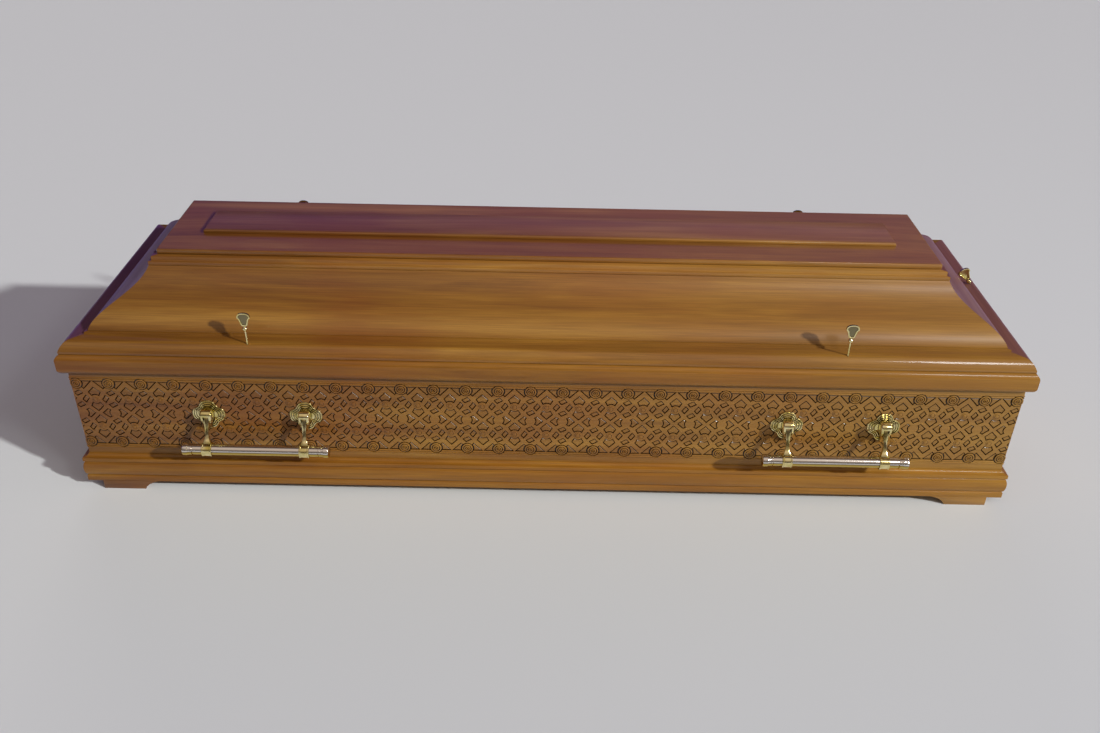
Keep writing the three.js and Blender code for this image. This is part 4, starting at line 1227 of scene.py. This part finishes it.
# Studio light
KEY_PLACE = Vector((1.9, -1.05, 1.1))
KEY_STRENGTH = 3.45
KEY_ANGLE = math.radians(2.5)
KEY_COLOUR = "#fffcf6"
FILL_PLACE = Vector((-0.5, 2.4, 0.45))
FILL_STRENGTH = 1.05
FILL_ANGLE = math.radians(40)
FILL_COLOUR = "#fff0dc"
SOFTBOX_PLACE = Vector((2.75, -3.2, 3.8))
SOFTBOX_POWER = 34
SOFTBOX_SIZE = (0.8, 0.8)
FLOOR_SIZE = 18
FLOOR_MIDDLE_Y = -1
FLOOR = "#d0d6da"
SURROUND = "#e2d0c2"
SURROUND_STRENGTH = 0.37
ROOM = "#8c8c8c"
STRIP_STRENGTH = 0.4
BACK = "#4c4250"
GLOW_RIGHT = "#8a64f0"
GLOW_LEFT = "#745ae6"


def aimed_lamp(name, kind, place):
    """A lamp at a place, turned towards the middle of the coffin."""
    lamp = bpy.data.objects.new(name, bpy.data.lights.new(name, kind))
    lamp.location = place
    lamp.rotation_mode = "QUATERNION"
    lamp.rotation_quaternion = (-place).to_track_quat("-Z", "Y")
    bpy.context.scene.collection.objects.link(lamp)
    return lamp


def studio():
    """A plain pale floor under a soft key from the front right and a weaker fill from behind, in a pale
    surround that turns to a dim violet behind the coffin on the left."""
    bpy.ops.object.select_all(action="DESELECT")
    bpy.ops.mesh.primitive_plane_add(size=FLOOR_SIZE, location=(0, FLOOR_MIDDLE_Y, 0))
    bpy.ops.object.transform_apply()
    floor = bpy.context.object
    floor.name = "studio_floor"
    paper = new_material("pale_floor")
    shader = node(paper, "BsdfPrincipled", {"Base Color": linear(FLOOR), "Roughness": 0.95})
    node(paper, "OutputMaterial", {"Surface": shader})
    floor.data.materials.append(paper)

    world = bpy.data.worlds.new("studio")
    world.use_nodes = True
    world.node_tree.nodes.clear()
    way = node(world, "TexCoord", out="Generated")
    x, y, z = node(world, "SeparateXYZ", {"Vector": way}, out=slice(3))
    behind, left = [
        node(world, "MapRange", {
            "Value": value, "From Min": low, "From Max": high,
        }, interpolation_type="SMOOTHSTEP")
        for value, low, high in ((y, -0.35, 0.15), (x, 0.7, -0.6))
    ]
    glow_height = node(world, "ValToRGB", {"Fac": z}, stops=[
        (0.12, "#000000"), (0.75, "#000000"), (0.3, "#ffffff"), (0.5, "#ffffff"),
    ])
    glow = node(world, "Mix", {0: left, 6: linear(GLOW_RIGHT), 7: linear(GLOW_LEFT)}, out=2, data_type="RGBA")
    back = node(world, "Mix", {0: glow_height, 6: linear(BACK), 7: glow}, out=2, data_type="RGBA")
    sky = node(world, "Mix", {0: behind, 6: linear(SURROUND), 7: back}, out=2, data_type="RGBA")
    # A brighter strip overhead, on the front half alone
    strip = node(world, "ValToRGB", {"Fac": z}, stops=[(0.5, "#000000"), (0.64, "#ffffff")])
    before = node(world, "Math", {0: 1.0, 1: behind}, operation="SUBTRACT")
    strip = node(world, "Math", {0: strip, 1: before}, operation="MULTIPLY")
    # The room is dim near the horizon, which gives the brass its dark lines
    walls = node(world, "ValToRGB", {"Fac": z}, stops=[(0.0, ROOM), (0.3, "#ffffff"), (0.2, ROOM)])
    walls = node(world, "Math", {0: walls, 1: SURROUND_STRENGTH}, operation="MULTIPLY")
    strength = node(world, "Math", {0: strip, 1: STRIP_STRENGTH, 2: walls}, operation="MULTIPLY_ADD")
    light = node(world, "Background", {"Color": sky, "Strength": strength})
    node(world, "OutputWorld", {"Surface": light})
    bpy.context.scene.world = world

    key = aimed_lamp("key", "SUN", KEY_PLACE).data
    key.energy = KEY_STRENGTH
    key.angle = KEY_ANGLE
    key.color = linear(KEY_COLOUR)[:3]
    softbox = aimed_lamp("softbox", "AREA", SOFTBOX_PLACE).data
    softbox.shape = "RECTANGLE"
    softbox.size, softbox.size_y = SOFTBOX_SIZE
    softbox.energy = SOFTBOX_POWER
    # The fill lifts the far side and leaves no reflection on the lid
    fill = aimed_lamp("fill", "SUN", FILL_PLACE)
    fill.visible_glossy = False
    fill.data.energy = FILL_STRENGTH
    fill.data.angle = FILL_ANGLE
    fill.data.color = linear(FILL_COLOUR)[:3]
    bpy.context.scene.view_settings.view_transform = "Standard"


camera()
moulding("plinth", plinth_profile())
carved_sides()
plain_ends()
moulding("rim", rim_profile(), arris=RIM_ARRIS)
moulding("lid_rail", rail_profile(), (LENGTHWISE_WALNUT, LID_END_WALNUT), LID_ARRIS, drill_rail)
moulding("lid_slope", slope_profile(), (SLOPE_WALNUT, LID_END_WALNUT), LID_ARRIS)
moulding("lid_cornice", cornice_profile(), (LIGHTER_WALNUT, LID_END_WALNUT), CORNICE_ARRIS)
top_boards()
feet()
handles()
closing_screws()
base_board()
studio()
